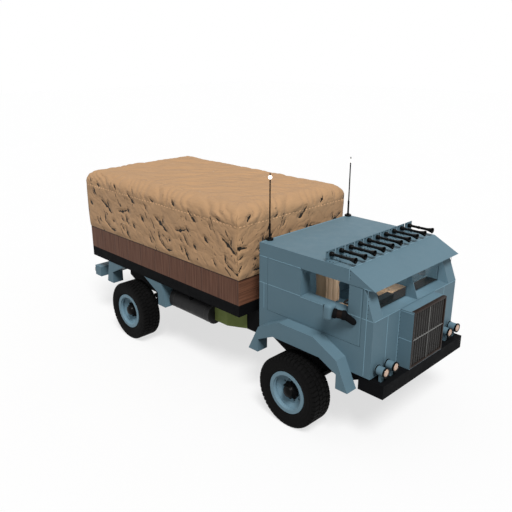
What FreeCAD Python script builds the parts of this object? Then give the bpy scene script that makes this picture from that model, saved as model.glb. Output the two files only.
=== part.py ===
"""Forward control cargo truck with a covered bed, modelled in millimetres.

+Z is up, the truck faces -Y and its left side is on +X.  The origin lies on
the ground, under the middle of the truck.
"""
import FreeCAD, Part
import math
import os
import re
import Sketcher

os.makedirs("parts", exist_ok=True)
doc = FreeCAD.newDocument("CargoTruck")
Vector = FreeCAD.Vector
Rotation = FreeCAD.Rotation

# Driving dimensions, in millimetres, degrees or plain counts

SIZES = [
    # Whole truck: lengths run from the front bumper, heights from the ground
    ("front_overhang", 1229),
    ("wheelbase", 3622),
    ("rear_overhang", 1281),
    ("overrun", 2),
    ("seat_gap", 0.3),
    ("panel_gap", 6),
    # Tyres, rims and hubs
    ("tyre_radius", 491),
    ("tyre_width", 328),
    ("tyre_shoulder", 19),
    ("tyre_shoulder_drop", 36),
    ("tyre_wall_lean", 4),
    ("tyre_bulge_rise", 120),
    ("tyre_reach", 143),
    ("tread_lugs", 36),
    ("tread_groove_depth", 14),
    ("tread_groove_width", 26),
    ("rim_flange_height", 34),
    ("rim_flange_width", 14),
    ("rim_barrel_radius", 256),
    ("rim_wall", 12),
    ("rim_disc_depth", 92),
    ("rim_disc_wall", 14),
    ("rim_disc_radius", 190),
    ("rim_dish_depth", 30),
    ("rim_holes", 10),
    ("rim_hole_radius", 13),
    ("rim_hole_circle", 150),
    ("hub_radius", 96),
    ("hub_length", 120),
    ("hub_cap_radius", 76),
    ("hub_cap_length", 78),
    ("spindle_radius", 42),
    ("spindle_reach", 190),
    ("bearing_gap", 0.3),
    # Steering knuckles and tie rod
    ("kingpin_offset", 196),
    ("kingpin_radius", 20),
    ("knuckle_radius", 52),
    ("knuckle_height", 130),
    ("knuckle_gap", 1),
    ("knuckle_side_gap", 13),
    ("yoke_height", 26),
    ("yoke_reach", 104),
    ("yoke_width", 73),
    ("yoke_back", 31),
    ("steering_arm_length", 200),
    ("steering_arm_width", 44),
    ("steering_arm_height", 22),
    ("steering_arm_drop", 40),
    ("tie_rod_radius", 14),
    ("tie_rod_end_radius", 24),
    # Axles and suspension
    ("axle_tube_radius", 56),
    ("axle_case_radius", 150),
    ("axle_case_width", 210),
    ("spring_rail_gap", 36),
    ("spring_radius", 62),
    ("spring_wire_radius", 11),
    ("spring_turns", 6),
    ("spring_seat_radius", 84),
    ("spring_seat_height", 12),
    ("damper_radius", 28),
    ("damper_offset", 120),
    ("link_width", 46),
    ("link_height", 60),
    ("link_length", 720),
    # Chassis frame
    ("rail_axle_gap", 324),
    ("rail_offset", 415),
    ("rail_width", 70),
    ("rail_height", 150),
    ("rail_wall", 12),
    ("cross_member_depth", 90),
    ("cross_member_height", 110),
    ("cross_member_reach", 380),
    ("spring_tower_depth", 190),
    ("spring_tower_height", 34),
    ("splash_plate_overlap", 4),
    ("splash_plate_thickness", 10),
    ("splash_plate_reach", 820),
    ("splash_plate_drop", 165),
    ("splash_plate_rise", 130),
    ("splash_plate_run", 270),
    ("cab_mount_length", 120),
    ("cab_mount_inset", 220),
    ("cab_mount_height", 20),
    # Engine and drive line
    ("engine_length", 900),
    ("engine_side_gap", 6),
    ("engine_hump_gap", 26),
    ("engine_axle_gap", 9),
    ("engine_front_gap", 300),
    ("gearbox_length", 640),
    ("gearbox_width", 330),
    ("gearbox_height", 300),
    ("shaft_radius", 36),
    ("front_shaft_offset", 190),
    ("transfer_length", 260),
    # Front bumper
    ("bumper_inset", 16),
    ("bumper_depth", 358),
    ("bumper_height", 179),
    ("bumper_reach", 186),
    # Cab shell
    ("cab_half_width", 964),
    ("cab_length", 1846),
    ("belt_rise", 750),
    ("window_height", 373),
    ("roof_thickness", 185),
    ("roof_setback", 374),
    ("cab_side_wall", 180),
    ("cab_front_wall", 180),
    ("cab_rear_wall", 150),
    ("cab_floor", 60),
    ("pillar_width", 195),
    ("pillar_setback", 150),
    ("mullion_thickness", 12),
    ("wheel_well_rise", 36),
    ("wheel_well_gap", 169),
    ("wheel_well_depth", 290),
    ("wheel_well_wall", 20),
    ("hump_half_width", 250),
    ("hump_rise", 275),
    ("hump_wall", 24),
    ("hump_rear_gap", 220),
    ("glass_thickness", 6),
    # Doors
    ("door_setback", 175),
    ("door_rear_inset", 156),
    ("door_fender_gap", 10),
    ("door_taper", 20),
    ("door_edge_radius", 20),
    ("door_pin_radius", 8),
    ("door_pin_depth", 40),
    ("window_setback", 190),
    ("window_length", 750),
    # Mirrors
    ("mirror_centre_reach", 150),
    ("mirror_width", 150),
    ("mirror_depth", 120),
    ("mirror_height", 210),
    ("mirror_round", 45),
    ("mirror_rise", 25),
    ("mirror_setback", 345),
    ("mirror_arm_radius", 42),
    ("mirror_neck_radius", 57),
    ("mirror_foot_setback", 96),
    ("mirror_foot_drop", 80),
    ("mirror_bend_setback", 180),
    ("mirror_bend_rise", 10),
    ("mirror_bend_reach", 90),
    # Grille box and grille
    ("grille_half_width", 387),
    ("grille_drop", 7),
    ("grille_wall", 6),
    ("grille_recess", 8),
    ("grille_frame", 26),
    ("grille_frame_depth", 40),
    ("grille_rib_width", 12),
    ("grille_ribs", 20),
    ("grille_back", 12),
    ("grille_bar", 10),
    # Headlamps
    ("lamp_inset", 90),
    ("lamp_pitch", 203),
    ("lamp_rise", 135),
    ("lamp_radius", 55),
    ("lamp_length", 128),
    ("lamp_reach", 152),
    ("lamp_ring_radius", 61),
    ("lamp_ring_width", 12),
    ("lamp_stand_width", 50),
    ("lamp_stand_depth", 36),
    ("lens_radius", 46),
    ("lens_depth", 10),
    # Fenders
    ("fender_width", 183),
    ("fender_shift", 14),
    ("fender_lift", 7),
    ("fender_thickness", 240),
    ("fender_foot", 181),
    ("fender_knee_drop", 186),
    ("fender_knee_inset", 186),
    ("fender_top_inset", 376),
    ("arch_gap", 174),
    ("arch_rise", 129),
    ("arch_knee_drop", 130),
    ("arch_knee_inset", 271),
    ("rear_fender_width", 200),
    ("rear_fender_foot", 185),
    ("rear_fender_lean", 85),
    ("rear_fender_drop", 195),
    ("rear_arch_knee_rise", 10),
    ("rear_arch_knee_inset", 373),
    ("rear_inset", 5),
    # Roof horns
    ("horn_count", 10),
    ("horn_rail_inset", 10.5),
    ("horn_axis_rise", 82),
    ("horn_rear_setback", 735),
    ("horn_length", 375),
    ("horn_tube_radius", 17),
    ("horn_bell_radius", 38),
    ("horn_bell_length", 90),
    ("horn_throat_radius", 29),
    ("horn_throat_length", 46),
    ("horn_plate_width", 170),
    ("horn_plate_height", 128),
    ("horn_plate_thickness", 6),
    ("horn_flange_depth", 122),
    # Antennas
    ("antenna_near_inset", 156),
    ("antenna_inset", 36),
    ("antenna_base_radius", 52),
    ("antenna_base_height", 24),
    ("antenna_mast_radius", 13),
    ("antenna_mast_height", 190),
    ("antenna_rod_radius", 8),
    ("antenna_height", 890),
    ("antenna_tip_radius", 18),
    # Cab fittings
    ("dash_depth", 150),
    ("dash_height", 200),
    ("dash_rise", 10),
    ("dash_hood_width", 350),
    ("dash_hood_depth", 100),
    ("dash_hood_height", 55),
    ("seat_side_gap", 24),
    ("seat_width", 420),
    ("seat_front_setback", 540),
    ("seat_length", 420),
    ("seat_rise", 355),
    ("seat_cushion_height", 130),
    ("seat_back_thickness", 110),
    ("seat_roof_gap", 58),
    ("steering_wheel_radius", 205),
    ("steering_wheel_tube", 13),
    ("steering_wheel_setback", 300),
    ("steering_wheel_rise", 715),
    ("steering_column_radius", 22),
    ("steering_spoke_width", 30),
    ("steering_tilt", 20),
    # Bed, boards and tailgate
    ("bed_gap", 239),
    ("bed_half_width", 1125),
    ("bed_sill_height", 203),
    ("bed_frame_height", 171),
    ("bed_frame_wall", 60),
    ("bearer_width", 70),
    ("bearer_count", 7),
    ("board_height", 379),
    ("board_thickness", 60),
    ("bed_floor_thickness", 32),
    ("tailgate_top_gap", 14),
    ("hinge_radius", 13),
    ("hinge_pin_radius", 6),
    ("hinge_eye_length", 60),
    ("hinge_offset", 820),
    ("hinge_plate_height", 60),
    # Canopy
    ("canopy_height", 982),
    ("canopy_wall", 26),
    ("canopy_round", 190),
    ("canopy_opening_height", 700),
    ("canopy_opening_inset", 195),
    ("bow_width", 34),
    ("bow_count", 5),
    # Tanks, boxes, rear beam
    ("battery_cab_gap", 53),
    ("battery_length", 400),
    ("battery_outer", 760),
    ("tank_radius", 160),
    ("tank_offset", 880),
    ("tank_drop", 65),
    ("tank_rear_gap", 20),
    ("tank_bracket_width", 60),
    ("tank_bracket_height", 90),
    ("box_outer", 900),
    ("box_width", 360),
    ("box_length", 554),
    ("box_drop", 165),
    ("box_taper_length", 274),
    ("box_taper", 140),
    ("rear_beam_depth", 184),
    ("coupling_spread", 160),
    ("coupling_rise", 100),
    ("coupling_hole_radius", 10.5),
    ("tail_lamp_depth", 30),
    ("tail_lamp_width", 90),
    ("tail_lamp_height", 70),
    ("tail_lamp_inset", 40),
]

sheet = doc.addObject("Spreadsheet::Sheet", "Sizes")
for row, (alias, number) in enumerate(SIZES, start=1):
    sheet.set("A%d" % row, alias)
    sheet.set("B%d" % row, str(number))
    sheet.setAlias("B%d" % row, alias)
answer = doc.addObject("Spreadsheet::Sheet", "Answer")
doc.recompute()
SIZE_NAMES = {alias for alias, number in SIZES}

# Places worked out from the driving dimensions

PLACES = {
    # Along the truck
    "overall_length": "front_overhang + wheelbase + rear_overhang",
    "bumper_front": "0 - overall_length / 2",
    "bed_rear": "overall_length / 2 - tail_lamp_depth",
    "front_axle": "bumper_front + front_overhang",
    "rear_axle": "front_axle + wheelbase",
    "cab_front": "bumper_front + bumper_reach",
    "cab_rear": "cab_front + cab_length",
    "bed_front": "cab_rear + bed_gap",
    "door_front": "cab_front + door_setback",
    "door_rear": "cab_rear - door_rear_inset",
    "screen_face": "door_front - panel_gap - glass_thickness",
    "fender_centre": "front_axle - fender_shift",
    "rail_front": "bumper_front + bumper_depth",
    "rail_rear": "bed_rear - rear_beam_depth",
    "engine_front": "cab_front + engine_front_gap",
    "engine_rear": "engine_front + engine_length",
    "gearbox_rear": "engine_rear + gearbox_length",
    "hump_rear": "engine_rear + hump_rear_gap",
    "well_front": "front_axle - tyre_radius - wheel_well_gap",
    "well_rear": "min(front_axle + tyre_radius + wheel_well_gap; cab_rear - wheel_well_wall)",
    "horn_rear": "cab_front + horn_rear_setback",
    "battery_front": "cab_rear + battery_cab_gap",
    "box_front": "battery_front + battery_length + panel_gap",
    "tank_front": "box_front + box_length + panel_gap",
    "tank_rear": "rear_axle - rear_fender_half_bottom - tank_rear_gap",
    "hinge_y": "bed_rear + hinge_radius + seat_gap",
    "seat_front": "cab_front + seat_front_setback",
    "seat_rear": "seat_front + seat_length + seat_back_thickness",
    "dash_rear": "cab_front + cab_front_wall + dash_depth",
    "lamp_front": "cab_front - lamp_reach",
    # Across the truck
    "cab_inner": "cab_half_width - cab_side_wall",
    "fender_outer": "cab_half_width + fender_width",
    "wheel_offset": "fender_outer + tyre_reach - tyre_width / 2",
    "kingpin": "wheel_offset - kingpin_offset",
    "rail_inner": "rail_offset - rail_width / 2",
    "rail_outer": "rail_offset + rail_width / 2",
    "spring_offset": "rail_outer + spring_rail_gap + spring_seat_radius",
    "engine_half_width": "hump_half_width - hump_wall - engine_side_gap",
    "bumper_half_width": "cab_half_width - bumper_inset",
    "lamp_outer_offset": "bumper_half_width - lamp_inset",
    "lamp_inner_offset": "lamp_outer_offset - lamp_pitch",
    "door_pin": "cab_half_width - door_edge_radius",
    "seat_outer": "cab_inner - seat_side_gap",
    "seat_inner": "seat_outer - seat_width",
    "steering_offset": "(seat_inner + seat_outer) / 2",
    "antenna_far_offset": "cab_half_width - antenna_base_radius",
    "antenna_near_offset": "cab_half_width - antenna_near_inset",
    "horn_pitch": "((cab_half_width - horn_rail_inset) * 2 - horn_plate_width) / (horn_count - 1)",
    "rear_outer": "bed_half_width - rear_inset",
    "canopy_opening_half_width": "bed_half_width - canopy_opening_inset",
    # Heights
    "rail_bottom": "tyre_radius + rail_axle_gap",
    "rail_top_height": "rail_bottom + rail_height",
    "yoke_top": "tyre_radius + knuckle_height / 2 + knuckle_gap",
    "yoke_low": "tyre_radius - knuckle_height / 2 - knuckle_gap",
    "arm_bottom": "tyre_radius - steering_arm_drop - steering_arm_height",
    "spring_bottom": "tyre_radius + axle_tube_radius + spring_seat_height",
    "spring_top": "rail_top_height - spring_tower_height",
    "bumper_top": "rail_top_height",
    "bumper_bottom_height": "rail_top_height - bumper_height",
    "cab_bottom_height": "rail_top_height + cab_mount_height",
    "floor_top": "cab_bottom_height + cab_floor",
    "belt_height": "cab_bottom_height + belt_rise",
    "window_top_height": "belt_height + window_height",
    "roof_height": "window_top_height + roof_thickness",
    "arch_top_height": "cab_bottom_height + arch_rise",
    "arch_knee_height": "arch_top_height - arch_knee_drop",
    "fender_top_height": "arch_top_height + fender_thickness",
    "fender_knee_height": "fender_top_height - fender_knee_drop",
    "fender_bottom_height": "bumper_bottom_height + fender_lift",
    "rear_fender_bottom_height": "rail_top_height - rear_fender_drop",
    "rear_arch_knee_height": "rail_top_height + rear_arch_knee_rise",
    "door_bottom_height": "fender_top_height + door_fender_gap",
    "well_top": "arch_top_height + wheel_well_rise",
    "hump_top": "cab_bottom_height + hump_rise",
    "engine_bottom_height": "tyre_radius + axle_case_radius + engine_axle_gap",
    "engine_top": "hump_top - hump_wall - engine_hump_gap",
    "grille_top_height": "belt_height - grille_drop",
    "lamp_centre_height": "bumper_top + lamp_rise",
    "mirror_centre_height": "belt_height + mirror_rise",
    "mirror_foot_height": "belt_height - mirror_foot_drop",
    "mirror_bend_height": "belt_height + mirror_bend_rise",
    "horn_axis": "roof_height + horn_axis_rise",
    "cushion_bottom": "floor_top + seat_rise",
    "seat_top": "window_top_height - seat_roof_gap",
    "steering_wheel_height": "floor_top + steering_wheel_rise",
    "bed_frame_bottom_height": "rail_top_height + bed_sill_height",
    "board_bottom": "bed_frame_bottom_height + bed_frame_height",
    "board_top": "board_bottom + board_height",
    "canopy_top": "board_top + canopy_height",
    "hinge_z": "board_bottom",
    "tailgate_bottom": "board_bottom + panel_gap",
    "tailgate_top": "board_top - tailgate_top_gap",
    "tank_centre_height": "rail_top_height - tank_drop",
    "box_bottom_height": "rail_top_height - box_drop",
    # Half lengths of the arches, and radii of the wheels
    "arch_half_bottom": "tyre_radius + arch_gap",
    "arch_half_top": "arch_half_bottom - arch_knee_inset",
    "fender_half_bottom": "arch_half_bottom + fender_foot",
    "fender_half_knee": "fender_half_bottom - fender_knee_inset",
    "fender_half_top": "fender_half_knee - fender_top_inset",
    "rear_fender_half_bottom": "arch_half_bottom + rear_fender_foot",
    "rear_fender_half_top": "rear_fender_half_bottom - rear_fender_lean",
    "rear_arch_half_top": "arch_half_bottom - rear_arch_knee_inset",
    "rim_flange_radius": "rim_barrel_radius + rim_flange_height",
    "tyre_bulge_radius": "rim_barrel_radius + tyre_bulge_rise",
}

WORD = re.compile(r"[a-z_]+[a-z_0-9]*")


def spell(text):
    """Write an expression with every place and size resolved to the sheet."""
    def swap(match):
        word = match.group(0)
        if word in PLACES:
            return "(" + spell(PLACES[word]) + ")"
        if word in SIZE_NAMES:
            return "Sizes." + word
        return word
    return WORD.sub(swap, text)


def value(text):
    """The plain number that an expression in sizes and places comes to."""
    answer.set("A1", "=" + spell(text))
    answer.recompute()
    return float(answer.get("A1"))


def bind(item, prop, text):
    item.setExpression(prop, spell(text))


def place(item, x="0", y="0", z="0"):
    bind(item, "Placement.Base.x", x)
    bind(item, "Placement.Base.y", y)
    bind(item, "Placement.Base.z", z)


def box(x, y, z, length, width, height):
    item = doc.addObject("Part::Box", "Block")
    bind(item, "Length", length)
    bind(item, "Width", width)
    bind(item, "Height", height)
    place(item, x, y, z)
    return item


def span(x, y, z):
    """A block between two ends along each axis, given as pairs."""
    sides = ["%s - (%s)" % (high, low) for low, high in (x, y, z)]
    return box(x[0], y[0], z[0], *sides)


TURNS = {
    "x": Rotation(Vector(0, 1, 0), 90),
    "y": Rotation(Vector(1, 0, 0), -90),
    "z": Rotation(),
}


def cylinder(axis, x, y, z, radius, length):
    item = doc.addObject("Part::Cylinder", "Round")
    bind(item, "Radius", radius)
    bind(item, "Height", length)
    item.Placement.Rotation = TURNS[axis]
    place(item, x, y, z)
    return item


def cone(axis, x, y, z, radius, end_radius, length):
    item = doc.addObject("Part::Cone", "Taper")
    bind(item, "Radius1", radius)
    bind(item, "Radius2", end_radius)
    bind(item, "Height", length)
    item.Placement.Rotation = TURNS[axis]
    place(item, x, y, z)
    return item


def cut(base, *tools):
    tool = tools[0] if len(tools) == 1 else fuse(*tools)
    item = doc.addObject("Part::Cut", "Cut")
    item.Base = base
    item.Tool = tool
    return item


def fuse(*items):
    item = doc.addObject("Part::MultiFuse", "Joined")
    item.Shapes = list(items)
    item.Refine = True
    return item


def gather(*items):
    """Separate solids that share one node."""
    item = doc.addObject("Part::Compound", "Group")
    item.Links = list(items)
    return item


def mirrored(item):
    """A copy on the other side of the truck."""
    copy = doc.addObject("Part::Mirroring", "Other")
    copy.Source = item
    copy.Normal = Vector(1, 0, 0)
    return copy


def both(item):
    return [item, mirrored(item)]


PLANES = {"x": "YZ_Plane", "y": "XZ_Plane", "z": "XY_Plane"}


def sketch_on(body, plane, start="0"):
    sketch = body.newObject("Sketcher::SketchObject", "Outline")
    for feature in body.Origin.OriginFeatures:
        if feature.Role == plane:
            sketch.AttachmentSupport = [(feature, "")]
    sketch.MapMode = "FlatFace"
    bind(sketch, "AttachmentOffset.Base.z", start)
    return sketch


def draw(sketch, points):
    """A closed outline whose corners are bound to sizes, two texts each."""
    count = len(points)
    first = sketch.GeometryCount
    for index in range(count):
        turn = 2 * math.pi * index / count
        after = 2 * math.pi * (index + 1) / count
        start = Vector(math.cos(turn), math.sin(turn), 0)
        end = Vector(math.cos(after), math.sin(after), 0)
        sketch.addGeometry(Part.LineSegment(start, end), False)
    for index in range(count):
        here = first + index
        there = first + (index + 1) % count
        sketch.addConstraint(Sketcher.Constraint("Coincident", here, 2, there, 1))
    for index, (across, up) in enumerate(points):
        for kind, text in (("DistanceX", across), ("DistanceY", up)):
            number = sketch.addConstraint(
                Sketcher.Constraint(kind, -1, 1, first + index, 1, 1.0))
            sketch.setExpression("Constraints[%d]" % number, spell(text))
    return sketch


def prism(axis, points, start, length):
    """An outline drawn across an axis and padded along it."""
    body = doc.addObject("PartDesign::Body", "Form")
    sketch = draw(sketch_on(body, PLANES[axis], start), points)
    pad = body.newObject("PartDesign::Pad", "Pad")
    pad.Profile = sketch
    bind(pad, "Length", length)
    return body


def turned(points, x="0", y="0", z="0"):
    """A profile of (along X, radius) turned about the X axis."""
    body = doc.addObject("PartDesign::Body", "Turned")
    sketch = draw(sketch_on(body, "XY_Plane"), points)
    spin = body.newObject("PartDesign::Revolution", "Spin")
    spin.Profile = sketch
    spin.ReferenceAxis = (sketch, ["H_Axis"])
    spin.Angle = 360
    place(body, x, y, z)
    return body


NODES = []


def node(name, item):
    item.Label = name
    NODES.append(item)
    return item


# Chassis frame: two channel rails with cross members, spring towers and splash plates


def rail():
    outer = span(("rail_inner", "rail_outer"), ("rail_front", "rail_rear"),
                 ("rail_bottom", "rail_top_height"))
    hollow = span(("rail_inner - overrun", "rail_outer - rail_wall"),
                  ("rail_front - overrun", "rail_rear + overrun"),
                  ("rail_bottom + rail_wall", "rail_top_height - rail_wall"))
    return cut(outer, hollow)


def cross_member(y):
    return span(("0 - rail_outer + rail_wall", "rail_outer - rail_wall"),
                (y, y + " + cross_member_depth"),
                ("rail_bottom + rail_wall", "rail_bottom + rail_wall + cross_member_height"))


def spring_tower(axle):
    return span(("rail_outer - overrun", "spring_offset + spring_seat_radius"),
                (axle + " - spring_tower_depth / 2", axle + " + spring_tower_depth"),
                ("spring_top", "rail_top_height"))


def splash_plate(axle):
    """An upright sheet on the inner side of a wheel, hung from the spring tower."""
    low = "rail_bottom - splash_plate_drop"
    corner = low + " + splash_plate_rise"
    front = axle + " - splash_plate_reach"
    rear = axle + " + splash_plate_reach"
    outline = [(front, "rail_top_height"), (rear, "rail_top_height"), (rear, corner),
               (rear + " - splash_plate_run", low), (front + " + splash_plate_run", low),
               (front, corner)]
    return prism("x", outline, "spring_offset + spring_seat_radius - splash_plate_overlap",
                 "splash_plate_thickness")


def cab_mount(y):
    return span(("rail_inner", "rail_outer"), (y, y + " + cab_mount_length"),
                ("rail_top_height - overrun", "cab_bottom_height"))


def chassis_frame():
    pieces = both(rail())
    pieces.append(cross_member("rail_front"))
    pieces.append(cross_member("gearbox_rear + cross_member_depth"))
    pieces.append(cross_member("rear_axle - cross_member_reach"))
    pieces.append(cross_member("rear_axle + cross_member_reach"))
    pieces.append(cross_member("rail_rear - cross_member_depth"))
    for axle in ("front_axle", "rear_axle"):
        pieces += both(spring_tower(axle)) + both(splash_plate(axle))
    for y in ("cab_front + cab_mount_inset", "cab_rear - cab_mount_inset - cab_mount_length"):
        pieces += both(cab_mount(y))
    return fuse(*pieces)


node("chassis_frame", chassis_frame())

# Axles: tubes with a round gear case, spring seats and link lugs


def axle_case(axle, x="0"):
    return cylinder("x", x + " - axle_case_width / 2", axle, "tyre_radius",
                    "axle_case_radius", "axle_case_width")


def axle_seat(axle):
    disc = span(("spring_offset - spring_seat_radius", "spring_offset + spring_seat_radius"),
                (axle + " - spring_seat_radius", axle + " + spring_tower_depth"),
                ("tyre_radius + axle_tube_radius - spring_seat_height", "spring_bottom"))
    return disc


def front_axle():
    tube = cylinder("x", "0 - kingpin", "front_axle", "tyre_radius",
                    "axle_tube_radius", "kingpin * 2")
    pieces = [tube, axle_case("front_axle", "front_shaft_offset")] + both(axle_seat("front_axle"))
    eyes = []
    for z in ("yoke_top", "yoke_low - yoke_height"):
        eye = cylinder("z", "kingpin", "front_axle", z, "knuckle_radius", "yoke_height")
        web = span(("kingpin - yoke_reach", "kingpin"),
                   ("front_axle - yoke_width / 2", "front_axle + yoke_width / 2"),
                   (z, z + " + yoke_height"))
        eyes += both(eye) + both(web)
    back = span(("kingpin - yoke_reach", "kingpin - yoke_reach + yoke_back"),
                ("front_axle - yoke_width / 2", "front_axle + yoke_width / 2"),
                ("yoke_low - yoke_height", "yoke_top + yoke_height"))
    room = cylinder("z", "kingpin", "front_axle", "yoke_low",
                    "knuckle_radius + knuckle_side_gap", "yoke_top - yoke_low")
    body = cut(fuse(*(pieces + eyes + both(back))), *both(room))
    pin = cylinder("z", "kingpin", "front_axle", "yoke_low - yoke_height",
                   "kingpin_radius", "yoke_top - yoke_low + yoke_height * 2")
    return fuse(body, *both(pin))


def rear_axle():
    tube = cylinder("x", "0 - wheel_offset", "rear_axle", "tyre_radius",
                    "axle_tube_radius", "wheel_offset * 2")
    room = cylinder("x", "wheel_offset - kingpin_offset / 2", "rear_axle", "tyre_radius",
                    "axle_tube_radius + overrun", "kingpin_offset")
    stub = cylinder("x", "wheel_offset - kingpin_offset", "rear_axle", "tyre_radius",
                    "spindle_radius", "spindle_reach")
    base = cut(tube, *both(room))
    return fuse(base, axle_case("rear_axle"), *(both(stub) + both(axle_seat("rear_axle"))))


node("front_axle", front_axle())
node("rear_axle", rear_axle())

# Coil springs, dampers and axle links


def coil(axle):
    helix = doc.addObject("Part::Helix", "Coil")
    bind(helix, "Radius", "spring_radius")
    bind(helix, "Height", "spring_top - spring_bottom - spring_wire_radius * 2")
    bind(helix, "Pitch", "(spring_top - spring_bottom - spring_wire_radius * 2) / spring_turns")
    ring = doc.addObject("Part::Circle", "Wire")
    bind(ring, "Radius", "spring_wire_radius")
    ring.Placement.Rotation = Rotation(Vector(1, 0, 0), 90)
    bind(ring, "Placement.Base.x", "spring_radius")
    sweep = doc.addObject("Part::Sweep", "Spring")
    sweep.Sections = [ring]
    sweep.Spine = (helix, [])
    sweep.Solid = True
    sweep.Frenet = True
    place(sweep, "spring_offset", axle, "spring_bottom + spring_wire_radius")
    return sweep


def damper(axle):
    return cylinder("z", "spring_offset", axle + " + damper_offset", "spring_bottom",
                    "damper_radius", "spring_top - spring_bottom")


def link(axle, sign):
    """A level arm from the axle tube to a bracket that hangs from the rail."""
    y = "%s %s " % (axle, sign)
    near = y + "axle_tube_radius"
    far = y + "link_length"
    ends = (near, far) if sign == "+" else (far, near)
    bracket = (y + "link_length - link_height", far)
    arm = span(("rail_offset - link_width / 2", "rail_offset + link_width / 2"), ends,
               ("tyre_radius - link_height / 2", "tyre_radius + link_height / 2"))
    hanger = span(("rail_offset - link_width / 2", "rail_offset + link_width / 2"),
                  bracket if sign == "+" else (far, y + "link_length + link_height"),
                  ("tyre_radius - link_height / 2", "rail_bottom"))
    return fuse(arm, hanger)


def suspension():
    pieces = []
    for axle, sign in (("front_axle", "+"), ("rear_axle", "-")):
        for item in (coil(axle), damper(axle), link(axle, sign)):
            pieces += both(item)
    return gather(*pieces)


node("suspension", suspension())

# Engine block and drive line


def engine_block():
    return span(("0 - engine_half_width", "engine_half_width"), ("engine_front", "engine_rear"),
                ("engine_bottom_height", "engine_top"))


def shaft(x, z, start, axle):
    """A shaft from the gearbox to the middle of an axle."""
    rise = "(tyre_radius - (%s))" % z
    run = "(%s - (%s))" % (axle, start)
    item = doc.addObject("Part::Cylinder", "Shaft")
    bind(item, "Radius", "shaft_radius")
    bind(item, "Height", "sqrt(%s ^ 2 + %s ^ 2)" % (rise, run))
    item.Placement.Rotation = Rotation(
        Vector(0, 0, 1), Vector(0, value(run), value(rise)))
    place(item, x, start, z)
    return item


def drive_line():
    case = span(("0 - gearbox_width / 2", "gearbox_width / 2"), ("engine_rear", "gearbox_rear"),
                ("engine_bottom_height", "engine_bottom_height + gearbox_height"))
    mount = span(("0 - rail_inner", "rail_inner"),
                 ("gearbox_rear - cross_member_depth", "gearbox_rear"),
                 ("engine_bottom_height + gearbox_height - rail_wall * 2",
                  "engine_bottom_height + gearbox_height"))
    transfer = span(("0", "front_shaft_offset + shaft_radius"),
                    ("gearbox_rear - transfer_length", "gearbox_rear"),
                    ("engine_bottom_height", "engine_bottom_height + gearbox_height / 2"))
    rear = shaft("0", "engine_bottom_height + gearbox_height / 2", "gearbox_rear", "rear_axle")
    front = shaft("front_shaft_offset", "engine_bottom_height + gearbox_height / 4",
                  "gearbox_rear - transfer_length", "front_axle")
    rooms = [cylinder("x", "0 - spring_offset", axle, "tyre_radius",
                      "axle_case_radius + seat_gap", "spring_offset * 2")
             for axle in ("front_axle", "rear_axle")]
    return cut(fuse(case, mount, transfer, rear, front), *rooms)


node("engine_block", engine_block())
node("drive_line", drive_line())

# Front bumper


def front_bumper():
    return span(("0 - bumper_half_width", "bumper_half_width"),
                ("bumper_front", "bumper_front + bumper_depth"),
                ("bumper_bottom_height", "bumper_top"))


node("front_bumper", front_bumper())

# Cab shell: floor, walls, pillars, wheel boxes and engine hump


def door_pin(gap):
    """The upright pin that a door turns on, or with a gap the room for it."""
    return cylinder("z", "door_pin", "door_front + door_edge_radius",
                    "door_bottom_height - door_pin_depth - " + gap,
                    "door_pin_radius + " + gap,
                    "window_top_height - door_bottom_height + (door_pin_depth + %s) * 2" % gap)


def cab_shell():
    outer = span(("0 - cab_half_width", "cab_half_width"), ("cab_front", "cab_rear"),
                 ("cab_bottom_height", "window_top_height"))
    room = span(("0 - cab_inner", "cab_inner"),
                ("cab_front + cab_front_wall", "cab_rear - cab_rear_wall"),
                ("floor_top", "window_top_height + overrun"))
    screen = span(("0 - cab_half_width - overrun", "cab_half_width + overrun"),
                  ("cab_front - overrun", "cab_front + cab_front_wall + overrun"),
                  ("belt_height", "window_top_height + overrun"))
    doorway = span(("cab_inner - overrun", "cab_half_width + overrun"),
                   ("door_front - panel_gap", "door_rear + panel_gap"),
                   ("door_bottom_height - panel_gap", "window_top_height + overrun"))
    shell = cut(outer, room, screen, *both(doorway))
    pillar = prism("x", [("cab_front", "belt_height"),
                         ("cab_front + pillar_setback", "window_top_height"),
                         ("screen_face - seat_gap", "window_top_height"),
                         ("screen_face - seat_gap", "belt_height")],
                   "cab_half_width - pillar_width", "pillar_width")
    mullion = prism("x", [("cab_front + grille_wall", "belt_height"),
                          ("cab_front + pillar_setback + grille_wall", "window_top_height"),
                          ("cab_front + cab_front_wall", "window_top_height"),
                          ("cab_front + cab_front_wall", "belt_height")],
                    "0 - mullion_thickness / 2", "mullion_thickness")
    box_side = "cab_half_width - wheel_well_depth - wheel_well_wall"
    wheel_box = span((box_side, "cab_inner"),
                     ("well_front - wheel_well_wall", "well_rear + wheel_well_wall"),
                     ("cab_bottom_height", "well_top + wheel_well_wall"))
    well = span(("cab_half_width - wheel_well_depth", "cab_half_width + overrun"),
                ("well_front", "well_rear"), ("cab_bottom_height - overrun", "well_top"))
    hump = span(("0 - hump_half_width", "hump_half_width"),
                ("cab_front + cab_front_wall", "hump_rear"), ("cab_bottom_height", "hump_top"))
    hollow = span(("0 - hump_half_width + hump_wall", "hump_half_width - hump_wall"),
                  ("cab_front + cab_front_wall - overrun", "hump_rear - hump_wall"),
                  ("cab_bottom_height - overrun", "hump_top - hump_wall"))
    riser = span(("hump_half_width - overrun", "cab_inner"), ("seat_front", "seat_rear"),
                 ("cab_bottom_height", "well_top + wheel_well_wall"))
    base = span(("seat_inner", "seat_outer"), ("seat_front", "seat_rear"),
                ("well_top", "cushion_bottom"))
    stands = both(wheel_box) + both(riser) + both(base)
    body = fuse(shell, mullion, hump, *(both(pillar) + stands))
    return cut(body, hollow, *(both(well) + both(door_pin("bearing_gap"))))


node("cab_shell", cab_shell())

# Roof slab with its sloping visor


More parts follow.
